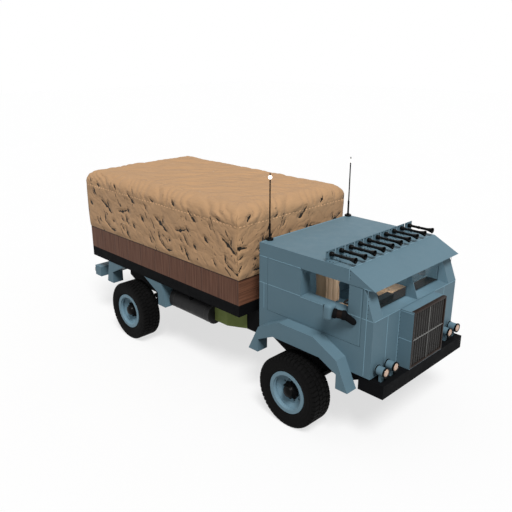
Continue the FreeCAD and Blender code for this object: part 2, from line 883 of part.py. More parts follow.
def cab_roof():
    slab = prism("x", [("cab_rear", "window_top_height"), ("cab_rear", "roof_height"),
                       ("cab_front + roof_setback", "roof_height"),
                       ("cab_front", "window_top_height")],
                 "0 - cab_half_width", "cab_half_width * 2")
    return cut(slab, *both(door_pin("bearing_gap")))


node("cab_roof", cab_roof())

# Windscreen panes, behind the sill


def windscreen():
    pane = span(("mullion_thickness / 2", "cab_inner - panel_gap"),
                ("screen_face", "screen_face + glass_thickness"),
                ("belt_height", "window_top_height"))
    return gather(*both(pane))


node("windscreen", windscreen())

# Doors, mirrors and arms: the left pieces are on +X


def door_panel():
    plan = [("cab_half_width", "door_front + door_edge_radius"), ("cab_half_width", "door_rear"),
            ("cab_inner", "door_rear - door_taper"), ("cab_inner", "door_front"),
            ("door_pin", "door_front")]
    height = "window_top_height - panel_gap - door_bottom_height"
    panel = prism("z", plan, "door_bottom_height", height)
    edge = cylinder("z", "door_pin", "door_front + door_edge_radius", "door_bottom_height",
                    "door_edge_radius", height)
    window = span(("cab_inner - overrun", "cab_half_width + overrun"),
                  ("door_front + window_setback", "door_front + window_setback + window_length"),
                  ("belt_height", "window_top_height + overrun"))
    return fuse(cut(fuse(panel, edge), window), door_pin("0"))


def rod_between(start, end, radius):
    """A round rod from one point to another, each given as three texts."""
    run = ["(%s) - (%s)" % (far, near) for near, far in zip(start, end)]
    item = doc.addObject("Part::Cylinder", "Rod")
    bind(item, "Radius", radius)
    bind(item, "Height", "sqrt((%s) ^ 2 + (%s) ^ 2 + (%s) ^ 2)" % tuple(run))
    item.Placement.Rotation = Rotation(Vector(0, 0, 1), Vector(*[value(text) for text in run]))
    place(item, *start)
    return item


def ball(centre, radius):
    item = doc.addObject("Part::Sphere", "Ball")
    bind(item, "Radius", radius)
    place(item, *centre)
    return item


def mirror():
    reach = "cab_half_width + mirror_centre_reach"
    y = "door_front + mirror_setback"
    block = span((reach + " - mirror_width / 2", reach + " + mirror_width / 2"),
                 (y + " - mirror_depth / 2", y + " + mirror_depth / 2"),
                 ("mirror_centre_height - mirror_height / 2",
                  "mirror_centre_height + mirror_height / 2"))
    doc.recompute()
    head = doc.addObject("Part::Fillet", "Housing")
    head.Base = block
    radius = value("mirror_round")
    head.Edges = [(number, radius, radius) for number in range(1, len(block.Shape.Edges) + 1)]
    foot = ("cab_half_width", "door_front + mirror_foot_setback", "mirror_foot_height")
    bend = ("cab_half_width + mirror_bend_reach", "door_front + mirror_bend_setback",
            "mirror_bend_height")
    end = (reach, y, "mirror_centre_height")
    arm = fuse(rod_between(foot, bend, "mirror_arm_radius"), ball(bend, "mirror_neck_radius"),
               rod_between(bend, end, "mirror_neck_radius"))
    inside = span(("cab_inner", "cab_half_width"), ("door_front", "door_rear"),
                  ("door_bottom_height", "belt_height"))
    return fuse(head, cut(arm, inside))


left_door = door_panel()
node("door_left", left_door)
node("door_right", mirrored(left_door))
left_mirror = mirror()
node("mirror_left", left_mirror)
node("mirror_right", mirrored(left_mirror))

# Grille box and grille


def grille_box():
    outer = span(("0 - grille_half_width", "grille_half_width"), ("bumper_front", "cab_front"),
                 ("bumper_top", "grille_top_height"))
    hollow = span(("0 - grille_half_width + grille_wall", "grille_half_width - grille_wall"),
                  ("bumper_front - overrun", "cab_front - grille_back"),
                  ("bumper_top + grille_wall", "grille_top_height - grille_wall"))
    return cut(outer, hollow)


def grille():
    side = "grille_half_width - grille_wall"
    opening = "(%s - grille_frame)" % side
    low = "bumper_top + grille_wall"
    high = "grille_top_height - grille_wall"
    face = "bumper_front + grille_recess"
    frame = span(("0 - (%s)" % side, side), (face, face + " + grille_frame_depth"), (low, high))
    room = span(("0 - " + opening, opening),
                (face + " - overrun", face + " + grille_frame_depth - grille_back"),
                (low + " + grille_frame", high + " - grille_frame"))
    pieces = [cut(frame, room)]
    for number in range(1, int(value("grille_ribs")) + 1):
        x = "%s * (2 * %d / (grille_ribs + 1) - 1)" % (opening, number)
        pieces.append(span((x + " - grille_rib_width / 2", x + " + grille_rib_width / 2"),
                           (face + " + grille_recess", face + " + grille_frame_depth - overrun"),
                           (low + " + overrun", high + " - overrun")))
    middle = "(bumper_top + grille_top_height) / 2"
    pieces.append(span(("0 - (%s)" % side, side), (face, face + " + grille_bar"),
                       (middle + " - grille_bar / 2", middle + " + grille_bar / 2")))
    pieces.append(span(("0 - grille_bar / 2", "grille_bar / 2"), (face, face + " + grille_bar"),
                       (low, high)))
    return fuse(*pieces)


node("grille_box", grille_box())
node("grille", grille())

# Headlamps on stands, and their lenses


def headlamp(x):
    y = "lamp_front"
    barrel = cylinder("y", x, y, "lamp_centre_height", "lamp_radius", "lamp_length")
    front = cylinder("y", x, y, "lamp_centre_height", "lamp_ring_radius", "lamp_ring_width")
    rear = cylinder("y", x, y + " + lamp_length - lamp_ring_width", "lamp_centre_height",
                    "lamp_ring_radius", "lamp_ring_width")
    stand = span((x + " - lamp_stand_width / 2", x + " + lamp_stand_width / 2"),
                 (y + " + lamp_length / 2 - lamp_stand_depth / 2",
                  y + " + lamp_length / 2 + lamp_stand_depth / 2"),
                 ("bumper_top", "lamp_centre_height"))
    recess = cylinder("y", x, y + " - overrun", "lamp_centre_height", "lens_radius",
                      "lens_depth + overrun")
    return cut(fuse(barrel, front, rear, stand), recess)


def lens(x):
    return cylinder("y", x, "lamp_front", "lamp_centre_height", "lens_radius", "lens_depth")


lamps = []
lenses = []
for offset in ("lamp_outer_offset", "lamp_inner_offset"):
    lamps += both(headlamp(offset))
    lenses += both(lens(offset))
node("headlamps", gather(*lamps))
node("headlamp_lenses", gather(*lenses))

# Fenders: whole arches in front, two legs under the bed behind


def front_fender():
    y = "fender_centre"
    outline = [(y + " + fender_half_bottom", "fender_bottom_height"),
               (y + " + fender_half_knee", "fender_knee_height"),
               (y + " + fender_half_top", "fender_top_height"),
               (y + " - fender_half_top", "fender_top_height"),
               (y + " - fender_half_knee", "fender_knee_height"),
               (y + " - fender_half_bottom", "fender_bottom_height"),
               (y + " - arch_half_bottom", "fender_bottom_height"),
               (y + " - arch_half_bottom", "arch_knee_height"),
               (y + " - arch_half_top", "arch_top_height"),
               (y + " + arch_half_top", "arch_top_height"),
               (y + " + arch_half_bottom", "arch_knee_height"),
               (y + " + arch_half_bottom", "fender_bottom_height")]
    return prism("x", outline, "cab_half_width", "fender_outer - cab_half_width")


def rear_leg(sign):
    y = "rear_axle %s " % sign
    outline = [(y + "rear_fender_half_bottom", "rear_fender_bottom_height"),
               (y + "rear_fender_half_top", "bed_frame_bottom_height"),
               (y + "rear_arch_half_top", "bed_frame_bottom_height"),
               (y + "arch_half_bottom", "rear_arch_knee_height"),
               (y + "arch_half_bottom", "rear_fender_bottom_height")]
    return prism("x", outline, "rear_outer - rear_fender_width", "rear_fender_width")


node("fenders", gather(*(both(front_fender()) + both(rear_leg("+")) + both(rear_leg("-")))))

# Roof horns on their mounting plates


def horn_x(number):
    return "horn_pitch * (%d - (horn_count - 1) / 2)" % number


def horn_rail():
    half = "(horn_pitch * (horn_count - 1) + horn_plate_width) / 2"
    pieces = [span(("0 - " + half, half),
                   ("horn_rear - horn_flange_depth", "horn_rear + horn_plate_thickness"),
                   ("roof_height", "roof_height + horn_plate_thickness"))]
    for number in range(int(value("horn_count"))):
        x = horn_x(number)
        pieces.append(span((x + " - horn_plate_width / 2", x + " + horn_plate_width / 2"),
                           ("horn_rear", "horn_rear + horn_plate_thickness"),
                           ("roof_height", "roof_height + horn_plate_height")))
    return fuse(*pieces)


def horn(number):
    x = horn_x(number)
    throat = cylinder("y", x, "horn_rear - horn_throat_length", "horn_axis",
                      "horn_throat_radius", "horn_throat_length")
    tube = cylinder("y", x, "horn_rear - horn_length + horn_bell_length", "horn_axis",
                    "horn_tube_radius", "horn_length - horn_bell_length - overrun")
    bell = cone("y", x, "horn_rear - horn_length", "horn_axis", "horn_bell_radius",
                "horn_tube_radius", "horn_bell_length")
    return fuse(throat, tube, bell)


node("horn_rail", horn_rail())
node("air_horns", gather(*[horn(number) for number in range(int(value("horn_count")))]))

# Whip antennas


def antenna(x):
    y = "cab_rear - antenna_inset"
    base = cylinder("z", x, y, "roof_height", "antenna_base_radius", "antenna_base_height")
    mast = cylinder("z", x, y, "roof_height", "antenna_mast_radius", "antenna_mast_height")
    rod = cylinder("z", x, y, "roof_height", "antenna_rod_radius", "antenna_height")
    tip = ball((x, y, "roof_height + antenna_height"), "antenna_tip_radius")
    return fuse(base, mast, rod, tip)


node("antennas", gather(antenna("0 - antenna_near_offset"), antenna("antenna_far_offset")))

# Cab fittings


def dashboard():
    top = "belt_height + dash_rise"
    panel = span(("0 - cab_inner + panel_gap", "cab_inner - panel_gap"),
                 ("cab_front + cab_front_wall", "dash_rear"), (top + " - dash_height", top))
    hood = span(("0 - steering_offset", "dash_hood_width - steering_offset"),
                ("dash_rear - dash_hood_depth", "dash_rear"), (top, top + " + dash_hood_height"))
    ring = doc.addObject("Part::Torus", "Ring")
    bind(ring, "Radius1", "steering_wheel_radius")
    bind(ring, "Radius2", "steering_wheel_tube")
    spoke = span(("0 - steering_wheel_radius", "steering_wheel_radius"),
                 ("0 - steering_spoke_width / 2", "steering_spoke_width / 2"),
                 ("0 - steering_wheel_tube / 2", "steering_wheel_tube / 2"))
    hub = cylinder("z", "0", "0", "0 - steering_wheel_tube", "steering_spoke_width",
                   "steering_wheel_tube * 2")
    reach = "(steering_wheel_rise / cos(steering_tilt) + steering_column_radius)"
    column = cylinder("z", "0", "0", "0 - " + reach, "steering_column_radius", reach)
    wheel = fuse(ring, spoke, hub, column)
    wheel.Placement.Rotation = Rotation(Vector(1, 0, 0), -value("steering_tilt"))
    place(wheel, "0 - steering_offset", "cab_front + cab_front_wall + steering_wheel_setback",
          "steering_wheel_height")
    below = span(("0 - cab_inner", "0"), ("cab_front", "cab_rear"), ("0", "floor_top"))
    return gather(fuse(panel, hood), cut(wheel, below))


def seats():
    base = span(("seat_inner", "seat_outer"), ("seat_front", "seat_front + seat_length"),
                ("cushion_bottom", "cushion_bottom + seat_cushion_height"))
    back = span(("seat_inner", "seat_outer"), ("seat_front + seat_length", "seat_rear"),
                ("cushion_bottom", "seat_top"))
    return gather(*(both(fuse(base, back))))


node("dashboard", dashboard())
node("seats", seats())

# Bed frame, boards, floor and tailgate


def bed_frame():
    outer = span(("0 - bed_half_width", "bed_half_width"), ("bed_front", "bed_rear"),
                 ("bed_frame_bottom_height", "board_bottom"))
    inner = span(("0 - bed_half_width + bed_frame_wall", "bed_half_width - bed_frame_wall"),
                 ("bed_front + bed_frame_wall", "bed_rear - bed_frame_wall"),
                 ("bed_frame_bottom_height - overrun", "board_bottom + overrun"))
    pieces = [cut(outer, inner)]
    step = "(bed_rear - (bed_front) - bed_frame_wall * 2) / (bearer_count + 1)"
    for number in range(1, int(value("bearer_count")) + 1):
        y = "bed_front + bed_frame_wall + %s * %d" % (step, number)
        pieces.append(span(("0 - bed_half_width + bed_frame_wall / 2",
                            "bed_half_width - bed_frame_wall / 2"),
                           (y + " - bearer_width / 2", y + " + bearer_width / 2"),
                           ("bed_frame_bottom_height", "board_bottom")))
    sill = span(("rail_inner", "rail_outer"), ("bed_front", "bed_rear"),
                ("rail_top_height", "bed_frame_bottom_height + overrun"))
    return fuse(*(pieces + both(sill) + both(bed_hinge())))


def bed_boards():
    inner = "bed_half_width - board_thickness"
    floor = span(("0 - bed_half_width + board_thickness", inner),
                 ("bed_front + board_thickness", "bed_rear - board_thickness - panel_gap"),
                 ("board_bottom", "board_bottom + bed_floor_thickness"))
    side = span((inner, "bed_half_width"), ("bed_front", "bed_rear"),
                ("board_bottom", "board_top"))
    front = span(("0 - bed_half_width", "bed_half_width"),
                 ("bed_front", "bed_front + board_thickness"), ("board_bottom", "board_top"))
    return fuse(floor, front, *both(side))


def hinge_eye(x, bottom, top, back):
    """An eye with a strap on the rear face of what carries it."""
    barrel = cylinder("x", x, "hinge_y", "hinge_z", "hinge_radius", "hinge_eye_length")
    strap = span((x, x + " + hinge_eye_length"), (back, "hinge_y"), (bottom, top))
    return fuse(barrel, strap)


def bed_hinge():
    eyes = []
    for x in ("hinge_offset - hinge_eye_length - seat_gap",
              "hinge_offset + hinge_eye_length + seat_gap"):
        eyes.append(hinge_eye(x, "hinge_z - hinge_plate_height", "hinge_z", "bed_rear"))
    pin = cylinder("x", "hinge_offset - hinge_eye_length - seat_gap", "hinge_y", "hinge_z",
                   "hinge_pin_radius", "hinge_eye_length * 3 + seat_gap * 2")
    return fuse(pin, *eyes)


def gate_hinge():
    eye = hinge_eye("hinge_offset", "hinge_z", "hinge_z + hinge_plate_height", "bed_rear")
    bore = cylinder("x", "hinge_offset - overrun", "hinge_y", "hinge_z",
                    "hinge_pin_radius + bearing_gap", "hinge_eye_length + overrun * 2")
    return cut(eye, bore)


def tailgate():
    panel = span(("0 - bed_half_width + board_thickness + panel_gap",
                  "bed_half_width - board_thickness - panel_gap"),
                 ("bed_rear - board_thickness", "bed_rear"), ("tailgate_bottom", "tailgate_top"))
    return fuse(panel, *both(gate_hinge()))


node("bed_frame", bed_frame())
node("bed_boards", bed_boards())
node("tailgate", tailgate())

# Canopy and bows


def rounded_top(half, ends, heights, radius):
    """A block whose four top edges are rounded."""
    body = span(("0 - (%s)" % half, half), ends, heights)
    doc.recompute()
    shape = body.Shape
    level = shape.BoundBox.ZMax - value("overrun")
    names = [number for number, edge in enumerate(shape.Edges, start=1)
             if edge.CenterOfMass.z > level]
    fillet = doc.addObject("Part::Fillet", "Rounded")
    fillet.Base = body
    fillet.Edges = [(number, value(radius), value(radius)) for number in names]
    return fillet


def canopy():
    outer = rounded_top("bed_half_width", ("bed_front", "bed_rear"),
                        ("board_top", "canopy_top"), "canopy_round")
    inner = rounded_top("bed_half_width - canopy_wall",
                        ("bed_front + canopy_wall", "bed_rear - canopy_wall"),
                        ("board_top - overrun", "canopy_top - canopy_wall"),
                        "canopy_round - canopy_wall")
    opening = span(("0 - canopy_opening_half_width", "canopy_opening_half_width"),
                   ("bed_rear - canopy_round", "bed_rear + overrun"),
                   ("board_top - overrun", "board_top + canopy_opening_height"))
    return cut(outer, inner, opening)


def bow(y):
    """A bow with sloping corners, drawn across the truck as one flat arch."""
    half = "bed_half_width - canopy_wall - seat_gap"
    top = "canopy_top - canopy_wall - seat_gap"

    def arch(side, crown):
        knee = "%s - canopy_round" % top
        return [("0 - (%s)" % side, "board_top"), ("0 - (%s)" % side, knee),
                ("0 - (%s) + canopy_round" % half, crown), ("%s - canopy_round" % half, crown),
                (side, knee), (side, "board_top")]

    outline = arch(half, top) + arch(half + " - bow_width", top + " - bow_width")[::-1]
    return prism("y", outline, "0 - (%s) - bow_width / 2" % y, "bow_width")


def canopy_bows():
    first = "bed_front + canopy_round + bow_width / 2"
    step = "(bed_rear - (bed_front) - canopy_round * 2 - bow_width) / (bow_count - 1)"
    bows = [bow("%s + %s * %d" % (first, step, number))
            for number in range(int(value("bow_count")))]
    return gather(*bows)


node("canopy", canopy())
node("canopy_bows", canopy_bows())

# Tanks, stowage boxes and rear beam


def tank():
    drum = cylinder("y", "tank_offset", "tank_front", "tank_centre_height",
                    "tank_radius", "tank_rear - (tank_front)")
    pieces = [drum]
    for y in ("tank_front + tank_radius", "tank_rear - tank_radius - tank_bracket_width"):
        pieces.append(span(("rail_outer", "tank_offset"), (y, y + " + tank_bracket_width"),
                           ("tank_centre_height - tank_bracket_height / 2",
                            "tank_centre_height + tank_bracket_height / 2")))
    return fuse(*pieces)


def stowage_box():
    rear = "box_front + box_length"
    plan = [("box_outer - box_width", "box_front"), ("box_outer - box_taper", "box_front"),
            ("box_outer", "box_front + box_taper_length"), ("box_outer", rear),
            ("box_outer - box_width", rear)]
    return prism("z", plan, "box_bottom_height", "bed_frame_bottom_height - box_bottom_height")


def battery_box():
    return span(("rail_outer", "battery_outer"),
                ("battery_front", "battery_front + battery_length"),
                ("box_bottom_height", "bed_frame_bottom_height"))


def rear_beam():
    beam = span(("0 - rear_outer", "rear_outer"),
                ("rail_rear", "bed_rear"), ("bumper_bottom_height", "bumper_top"))
    holes = []
    for sign in ("+", "-"):
        z = "(bumper_bottom_height + bumper_top) / 2 %s coupling_rise / 2" % sign
        holes += both(cylinder("y", "coupling_spread / 2", "rail_rear - overrun", z,
                               "coupling_hole_radius", "rear_beam_depth + overrun * 2"))
    return cut(beam, *holes)


def tail_lamp():
    return span(("rear_outer - tail_lamp_inset - tail_lamp_width",
                 "rear_outer - tail_lamp_inset"),
                ("bed_rear", "bed_rear + tail_lamp_depth"),
                ("bumper_bottom_height + bumper_height / 2 - tail_lamp_height / 2",
                 "bumper_bottom_height + bumper_height / 2 + tail_lamp_height / 2"))


node("fuel_tanks", gather(*both(tank())))
node("stowage_boxes", gather(*both(stowage_box())))
node("battery_boxes", gather(*both(battery_box())))
node("rear_beam", rear_beam())
node("tail_lamps", gather(*both(tail_lamp())))

# Steering knuckles and tie rod


def knuckle():
    boss = cylinder("z", "kingpin", "front_axle", "tyre_radius - knuckle_height / 2",
                    "knuckle_radius", "knuckle_height")
    stub = cylinder("x", "kingpin", "front_axle", "tyre_radius",
                    "spindle_radius", "spindle_reach")
    arm = span(("kingpin - steering_arm_width / 2", "kingpin + steering_arm_width / 2"),
               ("front_axle", "front_axle + steering_arm_length + steering_arm_width / 2"),
               ("arm_bottom", "arm_bottom + steering_arm_height"))
    bore = cylinder("z", "kingpin", "front_axle", "tyre_radius - knuckle_height",
                    "kingpin_radius + bearing_gap", "knuckle_height * 2")
    return cut(fuse(boss, stub, arm), bore)


def tie_rod():
    y = "front_axle + steering_arm_length"
    z = "arm_bottom - seat_gap - tie_rod_radius"
    rod = cylinder("x", "0 - kingpin", y, z, "tie_rod_radius", "kingpin * 2")
    end = cylinder("z", "kingpin", y, "arm_bottom - seat_gap - tie_rod_radius * 2",
                   "tie_rod_end_radius", "tie_rod_radius * 2")
    return fuse(rod, *both(end))


left_knuckle = knuckle()
node("knuckle_left", left_knuckle)
node("knuckle_right", mirrored(left_knuckle))
node("tie_rod", tie_rod())

# Wheels: rims and tyres, the outer face towards +X


def rim(y):
    half = "tyre_width / 2 - rim_flange_width"
    face = "tyre_width / 2 - rim_disc_depth"
    inner = "rim_barrel_radius - rim_wall"
    bore = "spindle_radius + bearing_gap"
    profile = [("0 - (%s)" % half, inner),
               ("0 - (%s)" % half, "rim_flange_radius"),
               ("0 - (%s) + rim_flange_width" % half, "rim_flange_radius"),
               ("0 - (%s) + rim_flange_width" % half, "rim_barrel_radius"),
               (half + " - rim_flange_width", "rim_barrel_radius"),
               (half + " - rim_flange_width", "rim_flange_radius"),
               (half, "rim_flange_radius"),
               (half, inner),
               (face, inner),
               (face + " - rim_dish_depth", "rim_disc_radius"),
               (face + " - rim_dish_depth", "hub_radius"),
               (face + " + hub_cap_length - rim_dish_depth", "hub_cap_radius"),
               (face + " + hub_cap_length", "0"),
               ("spindle_reach - kingpin_offset + panel_gap", "0"),
               ("spindle_reach - kingpin_offset + panel_gap", bore),
               (face + " - rim_dish_depth - hub_length", bore),
               (face + " - rim_dish_depth - hub_length", "hub_radius"),
               (face + " - rim_dish_depth - rim_disc_wall", "hub_radius"),
               (face + " - rim_dish_depth - rim_disc_wall", "rim_disc_radius"),
               (face + " - rim_disc_wall", inner)]
    body = turned(profile, "wheel_offset", y, "tyre_radius")
    holes = []
    for number in range(int(value("rim_holes"))):
        angle = "(360 * %d / rim_holes)" % number
        holes.append(cylinder("x", "wheel_offset", "%s + rim_hole_circle * cos%s" % (y, angle),
                              "tyre_radius + rim_hole_circle * sin" + angle,
                              "rim_hole_radius", face))
    return cut(body, *holes)


TYRE_TURN = TURNS["x"].multiply(Rotation(Vector(0, 0, 1), 180 / value("tread_lugs")))


def tyre_ring(x, y, radius):
    """A flat-sided ring across the axle line, with one side for each lug."""
    item = doc.addObject("Part::RegularPolygon", "Ring")
    bind(item, "Polygon", "tread_lugs")
    bind(item, "Circumradius", "(%s) / cos(180 / tread_lugs)" % radius)
    item.Placement.Rotation = TYRE_TURN
    place(item, "wheel_offset + " + x, y, "tyre_radius")
    return item


def tread_groove(y, number):
    """The room between two lugs, across the whole tread."""
    turn = "(360 * (%d + 1 / 2) / tread_lugs)" % number
    floor = "(tyre_radius - tread_groove_depth)"
    groove = box("wheel_offset - tyre_width / 2",
                 "%s - tread_groove_width / 2 * cos%s - %s * sin%s" % (y, turn, floor, turn),
                 "tyre_radius - tread_groove_width / 2 * sin%s + %s * cos%s" % (turn, floor, turn),
                 "tyre_width", "tread_groove_width", "tread_groove_depth * 2")
    groove.Placement.Rotation = Rotation(Vector(1, 0, 0), value(turn))
    return groove


def tyre(y):
    """Flat sides, one for each lug, with a groove across every corner."""
    half = "tyre_width / 2"
    outline = [("(%s - rim_flange_width * 2 - seat_gap)" % half, "rim_flange_radius"),
               ("(%s)" % half, "tyre_bulge_radius"),
               ("(%s - tyre_wall_lean)" % half, "tyre_radius - tyre_shoulder_drop"),
               ("(%s - tyre_shoulder)" % half, "tyre_radius")]
    skin = doc.addObject("Part::Loft", "Skin")
    skin.Sections = ([tyre_ring("0 - " + x, y, radius) for x, radius in outline]
                     + [tyre_ring(x, y, radius) for x, radius in reversed(outline)])
    skin.Solid = True
    skin.Ruled = True
    bore = doc.addObject("Part::Prism", "Bore")
    bind(bore, "Polygon", "tread_lugs")
    bind(bore, "Circumradius", "(rim_barrel_radius + seat_gap) / cos(180 / tread_lugs)")
    bind(bore, "Height", "tyre_width")
    bore.Placement.Rotation = TYRE_TURN
    place(bore, "wheel_offset - tyre_width / 2", y, "tyre_radius")
    grooves = [tread_groove(y, number) for number in range(int(value("tread_lugs")))]
    return cut(skin, bore, *grooves)


for end, y in (("front", "front_axle"), ("rear", "rear_axle")):
    for kind, make in (("rim", rim), ("tyre", tyre)):
        left = make(y)
        node("%s_%s_left" % (kind, end), left)
        node("%s_%s_right" % (kind, end), mirrored(left))

# Build, look over every object, then write one file for each node

doc.recompute()
for item in doc.Objects:
    if "Invalid" in item.State or "Error" in item.State:
        raise RuntimeError("%s (%s) failed: %s" % (item.Name, item.Label, item.State))
for item in NODES:
    if item.Shape.isNull() or not item.Shape.isValid() or not item.Shape.Solids:
        raise RuntimeError("%s has no valid shape" % item.Label)
for item in NODES:
    item.Shape.exportStep("parts/%s.step" % item.Label)
    print("%-20s solids %2d  litres %9.2f" % (item.Label, len(item.Shape.Solids),
                                              item.Shape.Volume / 1e6))
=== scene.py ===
"""Looks of a forward control cargo truck, laid out as an add-on and run as a script."""

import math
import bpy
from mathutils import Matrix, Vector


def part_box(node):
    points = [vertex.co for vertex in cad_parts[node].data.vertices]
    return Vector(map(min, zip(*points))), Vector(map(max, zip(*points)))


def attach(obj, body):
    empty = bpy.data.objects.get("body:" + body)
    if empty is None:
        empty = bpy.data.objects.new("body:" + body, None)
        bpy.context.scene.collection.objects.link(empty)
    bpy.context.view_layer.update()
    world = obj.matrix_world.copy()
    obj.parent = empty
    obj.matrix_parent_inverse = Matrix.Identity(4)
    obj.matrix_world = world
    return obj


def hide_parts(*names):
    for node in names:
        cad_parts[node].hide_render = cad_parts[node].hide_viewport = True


bl_info = {
    "name": "Cargo truck looks",
    "version": (1, 0, 0),
    "blender": (4, 5, 0),
    "location": "3D View > Sidebar > Truck",
    "description": "Dresses the packed cargo truck with its canvas, tyres, lamps and finishes",
    "category": "Object",
}

import bmesh
import bpy
from bpy.props import FloatProperty, FloatVectorProperty, IntProperty, PointerProperty
from mathutils import Matrix, Vector, noise

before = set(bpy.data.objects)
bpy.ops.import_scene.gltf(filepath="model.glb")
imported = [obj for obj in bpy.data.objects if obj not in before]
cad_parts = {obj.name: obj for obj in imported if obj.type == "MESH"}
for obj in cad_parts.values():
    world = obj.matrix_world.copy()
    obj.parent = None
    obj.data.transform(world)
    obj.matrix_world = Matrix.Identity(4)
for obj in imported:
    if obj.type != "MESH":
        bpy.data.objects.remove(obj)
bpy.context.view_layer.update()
SIDES = (("left", 1), ("right", -1))
AXLES = ("front", "rear")
WHEELS = [(f"{axle}_{name}", side) for axle in AXLES for name, side in SIDES]

# Fixed places, in metres

CAMERA_AIM = Vector((0, 0, 1.605))
CAB_LAMP = (0, -2.32, 1.98)
FLOOR_HALF = 60
FLOOR_BOUNCE = (0.34, 0.34, 0.34, 1)
SUN_SPREAD = 20
CAB_LAMP_RADIUS = 0.25
VIEW_REACH = 200
FLOOR_GLOW = 0.68
SUN_FROM = (-0.295, -0.395, 0.70)
ROUND_EDGE = 0.19
OPENING_HALF = 0.93
OPENING_HEIGHT = 0.70
SEAM_DROP = 0.224
SEAM_HEIGHT = 2.476
TREAD_SLANT = 0.16
TREAD_SHARE = 0.76
RIM_SEAT = 0.256
BEAD_INSET = 0.0285
HUB_FACE = 0.056
NUT_CIRCLE = 0.1145
HUB_PROFILE = ((0.0425, 0.098), (0.0425, 0.1165), (0.056, 0.1175), (0.059, 0.1145),
               (0.060, 0.1090), (0.070, 0.0990), (0.096, 0.0900), (0.096, 0.0845),
               (0.0425, 0.098))
DRUM_PROFILE = ((0.0270, 0.099), (0.0270, 0.186), (0.0210, 0.186), (0.0210, 0.099),
                (0.0270, 0.099))
CAP_PROFILE = ((0.092, 0.0845), (0.094, 0.088), (0.100, 0.0885), (0.104, 0.085), (0.118, 0.0805),
               (0.130, 0.0745), (0.142, 0.061), (0.151, 0.041), (0.1555, 0.018), (0.156, 0.0),
               (0.151, 0.0), (0.092, 0.0845))
STEP_PROFILE = ((0.1498, 0.2437), (0.1480, 0.2390), (0.1300, 0.2360), (0.1240, 0.2360),
                (0.1200, 0.2290), (0.1090, 0.2280), (0.1050, 0.2330), (0.0900, 0.2370),
                (0.0750, 0.2420), (0.0730, 0.2437), (0.1498, 0.2437))
LAMP_PLACES = (0.858, 0.655)
LAMP_RING = ((-0.014, 0.0556), (-0.014, 0.0620), (0.002, 0.0650), (0.009, 0.0630),
             (0.009, 0.0575), (0.001, 0.0475), (-0.003, 0.0475), (-0.014, 0.0556))
LAMP_BASE = ((-0.006, 0), (-0.006, 0.048), (0.000, 0.0600), (0.014, 0.0630), (0.019, 0.0610),
             (0.019, 0.0553), (0.004, 0.0553), (0.004, 0))
LAMP_LENS = ((-0.002, 0.0472), (0.004, 0.0440), (0.009, 0.0300), (0.011, 0.0), (-0.004, 0.0),
             (-0.002, 0.0472))
LAMP_STEPS = 44
LENS_RIB_PITCH = 0.0088
LENS_RIB_REACH = 0.040
LAMP_BACK = -2.904
LAMP_HEIGHT = 1.100
TAIL_LAMP_INNER = 0.93
TAIL_LAMP_OUTER = 1.117
HORN_COUNT = 10
HORN_BELL = 0.038
HORN_BOLTS = 0.066
HORN_PROFILE = ((0.0, 0.0), (0.0, 0.025), (0.004, 0.0295), (0.040, 0.0295), (0.047, 0.025),
                (0.054, 0.0172), (0.150, 0.0170), (0.153, 0.0215), (0.170, 0.0215),
                (0.173, 0.0172), (0.285, 0.0185), (0.320, 0.0240), (0.350, 0.0315),
                (0.366, 0.0370), (0.372, 0.0392), (0.376, 0.0380), (0.366, 0.0335),
                (0.350, 0.0265), (0.320, 0.0160), (0.290, 0.0100), (0.290, 0.0))
ANTENNA_BASE = 0.052
ANTENNA_PROFILE = ((0, 0), (0, 0.0505), (0.003, 0.052), (0.019, 0.052), (0.024, 0.048),
                   (0.026, 0.024), (0.042, 0.021), (0.048, 0.0140), (0.210, 0.0135),
                   (0.214, 0.0155), (0.226, 0.0155), (0.230, 0.0098), (0.500, 0.0092),
                   (0.880, 0.0085), (0.900, 0.0060), (0.902, 0))
ANTENNA_BOLT_CIRCLE = 0.034
MIRROR_HALF = (0.075, 0.060, 0.105)
MIRROR_LEAN = 0.12
MIRROR_ARM = 0.040
MIRROR_NECK = 0.052
MIRROR_HUMP = 0.060
GRILLE_BORDER = 0.030
DOOR_EDGE = 0.008
CORNER_SEAM = 0.098
REAR_SEAM = 0.085
ROOF_SEAM = 0.374
ROOF_REAR_SEAM = 0.388
TANK_STRAP = ((0, 0.0002), (0.002, 0.003), (0.010, 0.003), (0.012, 0.0002), (0, 0.0002))
TANK_RIM = ((0, -0.012), (0, 0.003), (0.012, 0.004), (0.012, 0.0002), (0.005, -0.012),
            (0, -0.012))
TANK_STEPS = 56
GRILLE_RIBS = 13
GRILLE_SEAM = 0.66
CREASE_PERIOD = 1.53
CREASE_SHIFT = 1.495
CREASE_REACH = 0.6
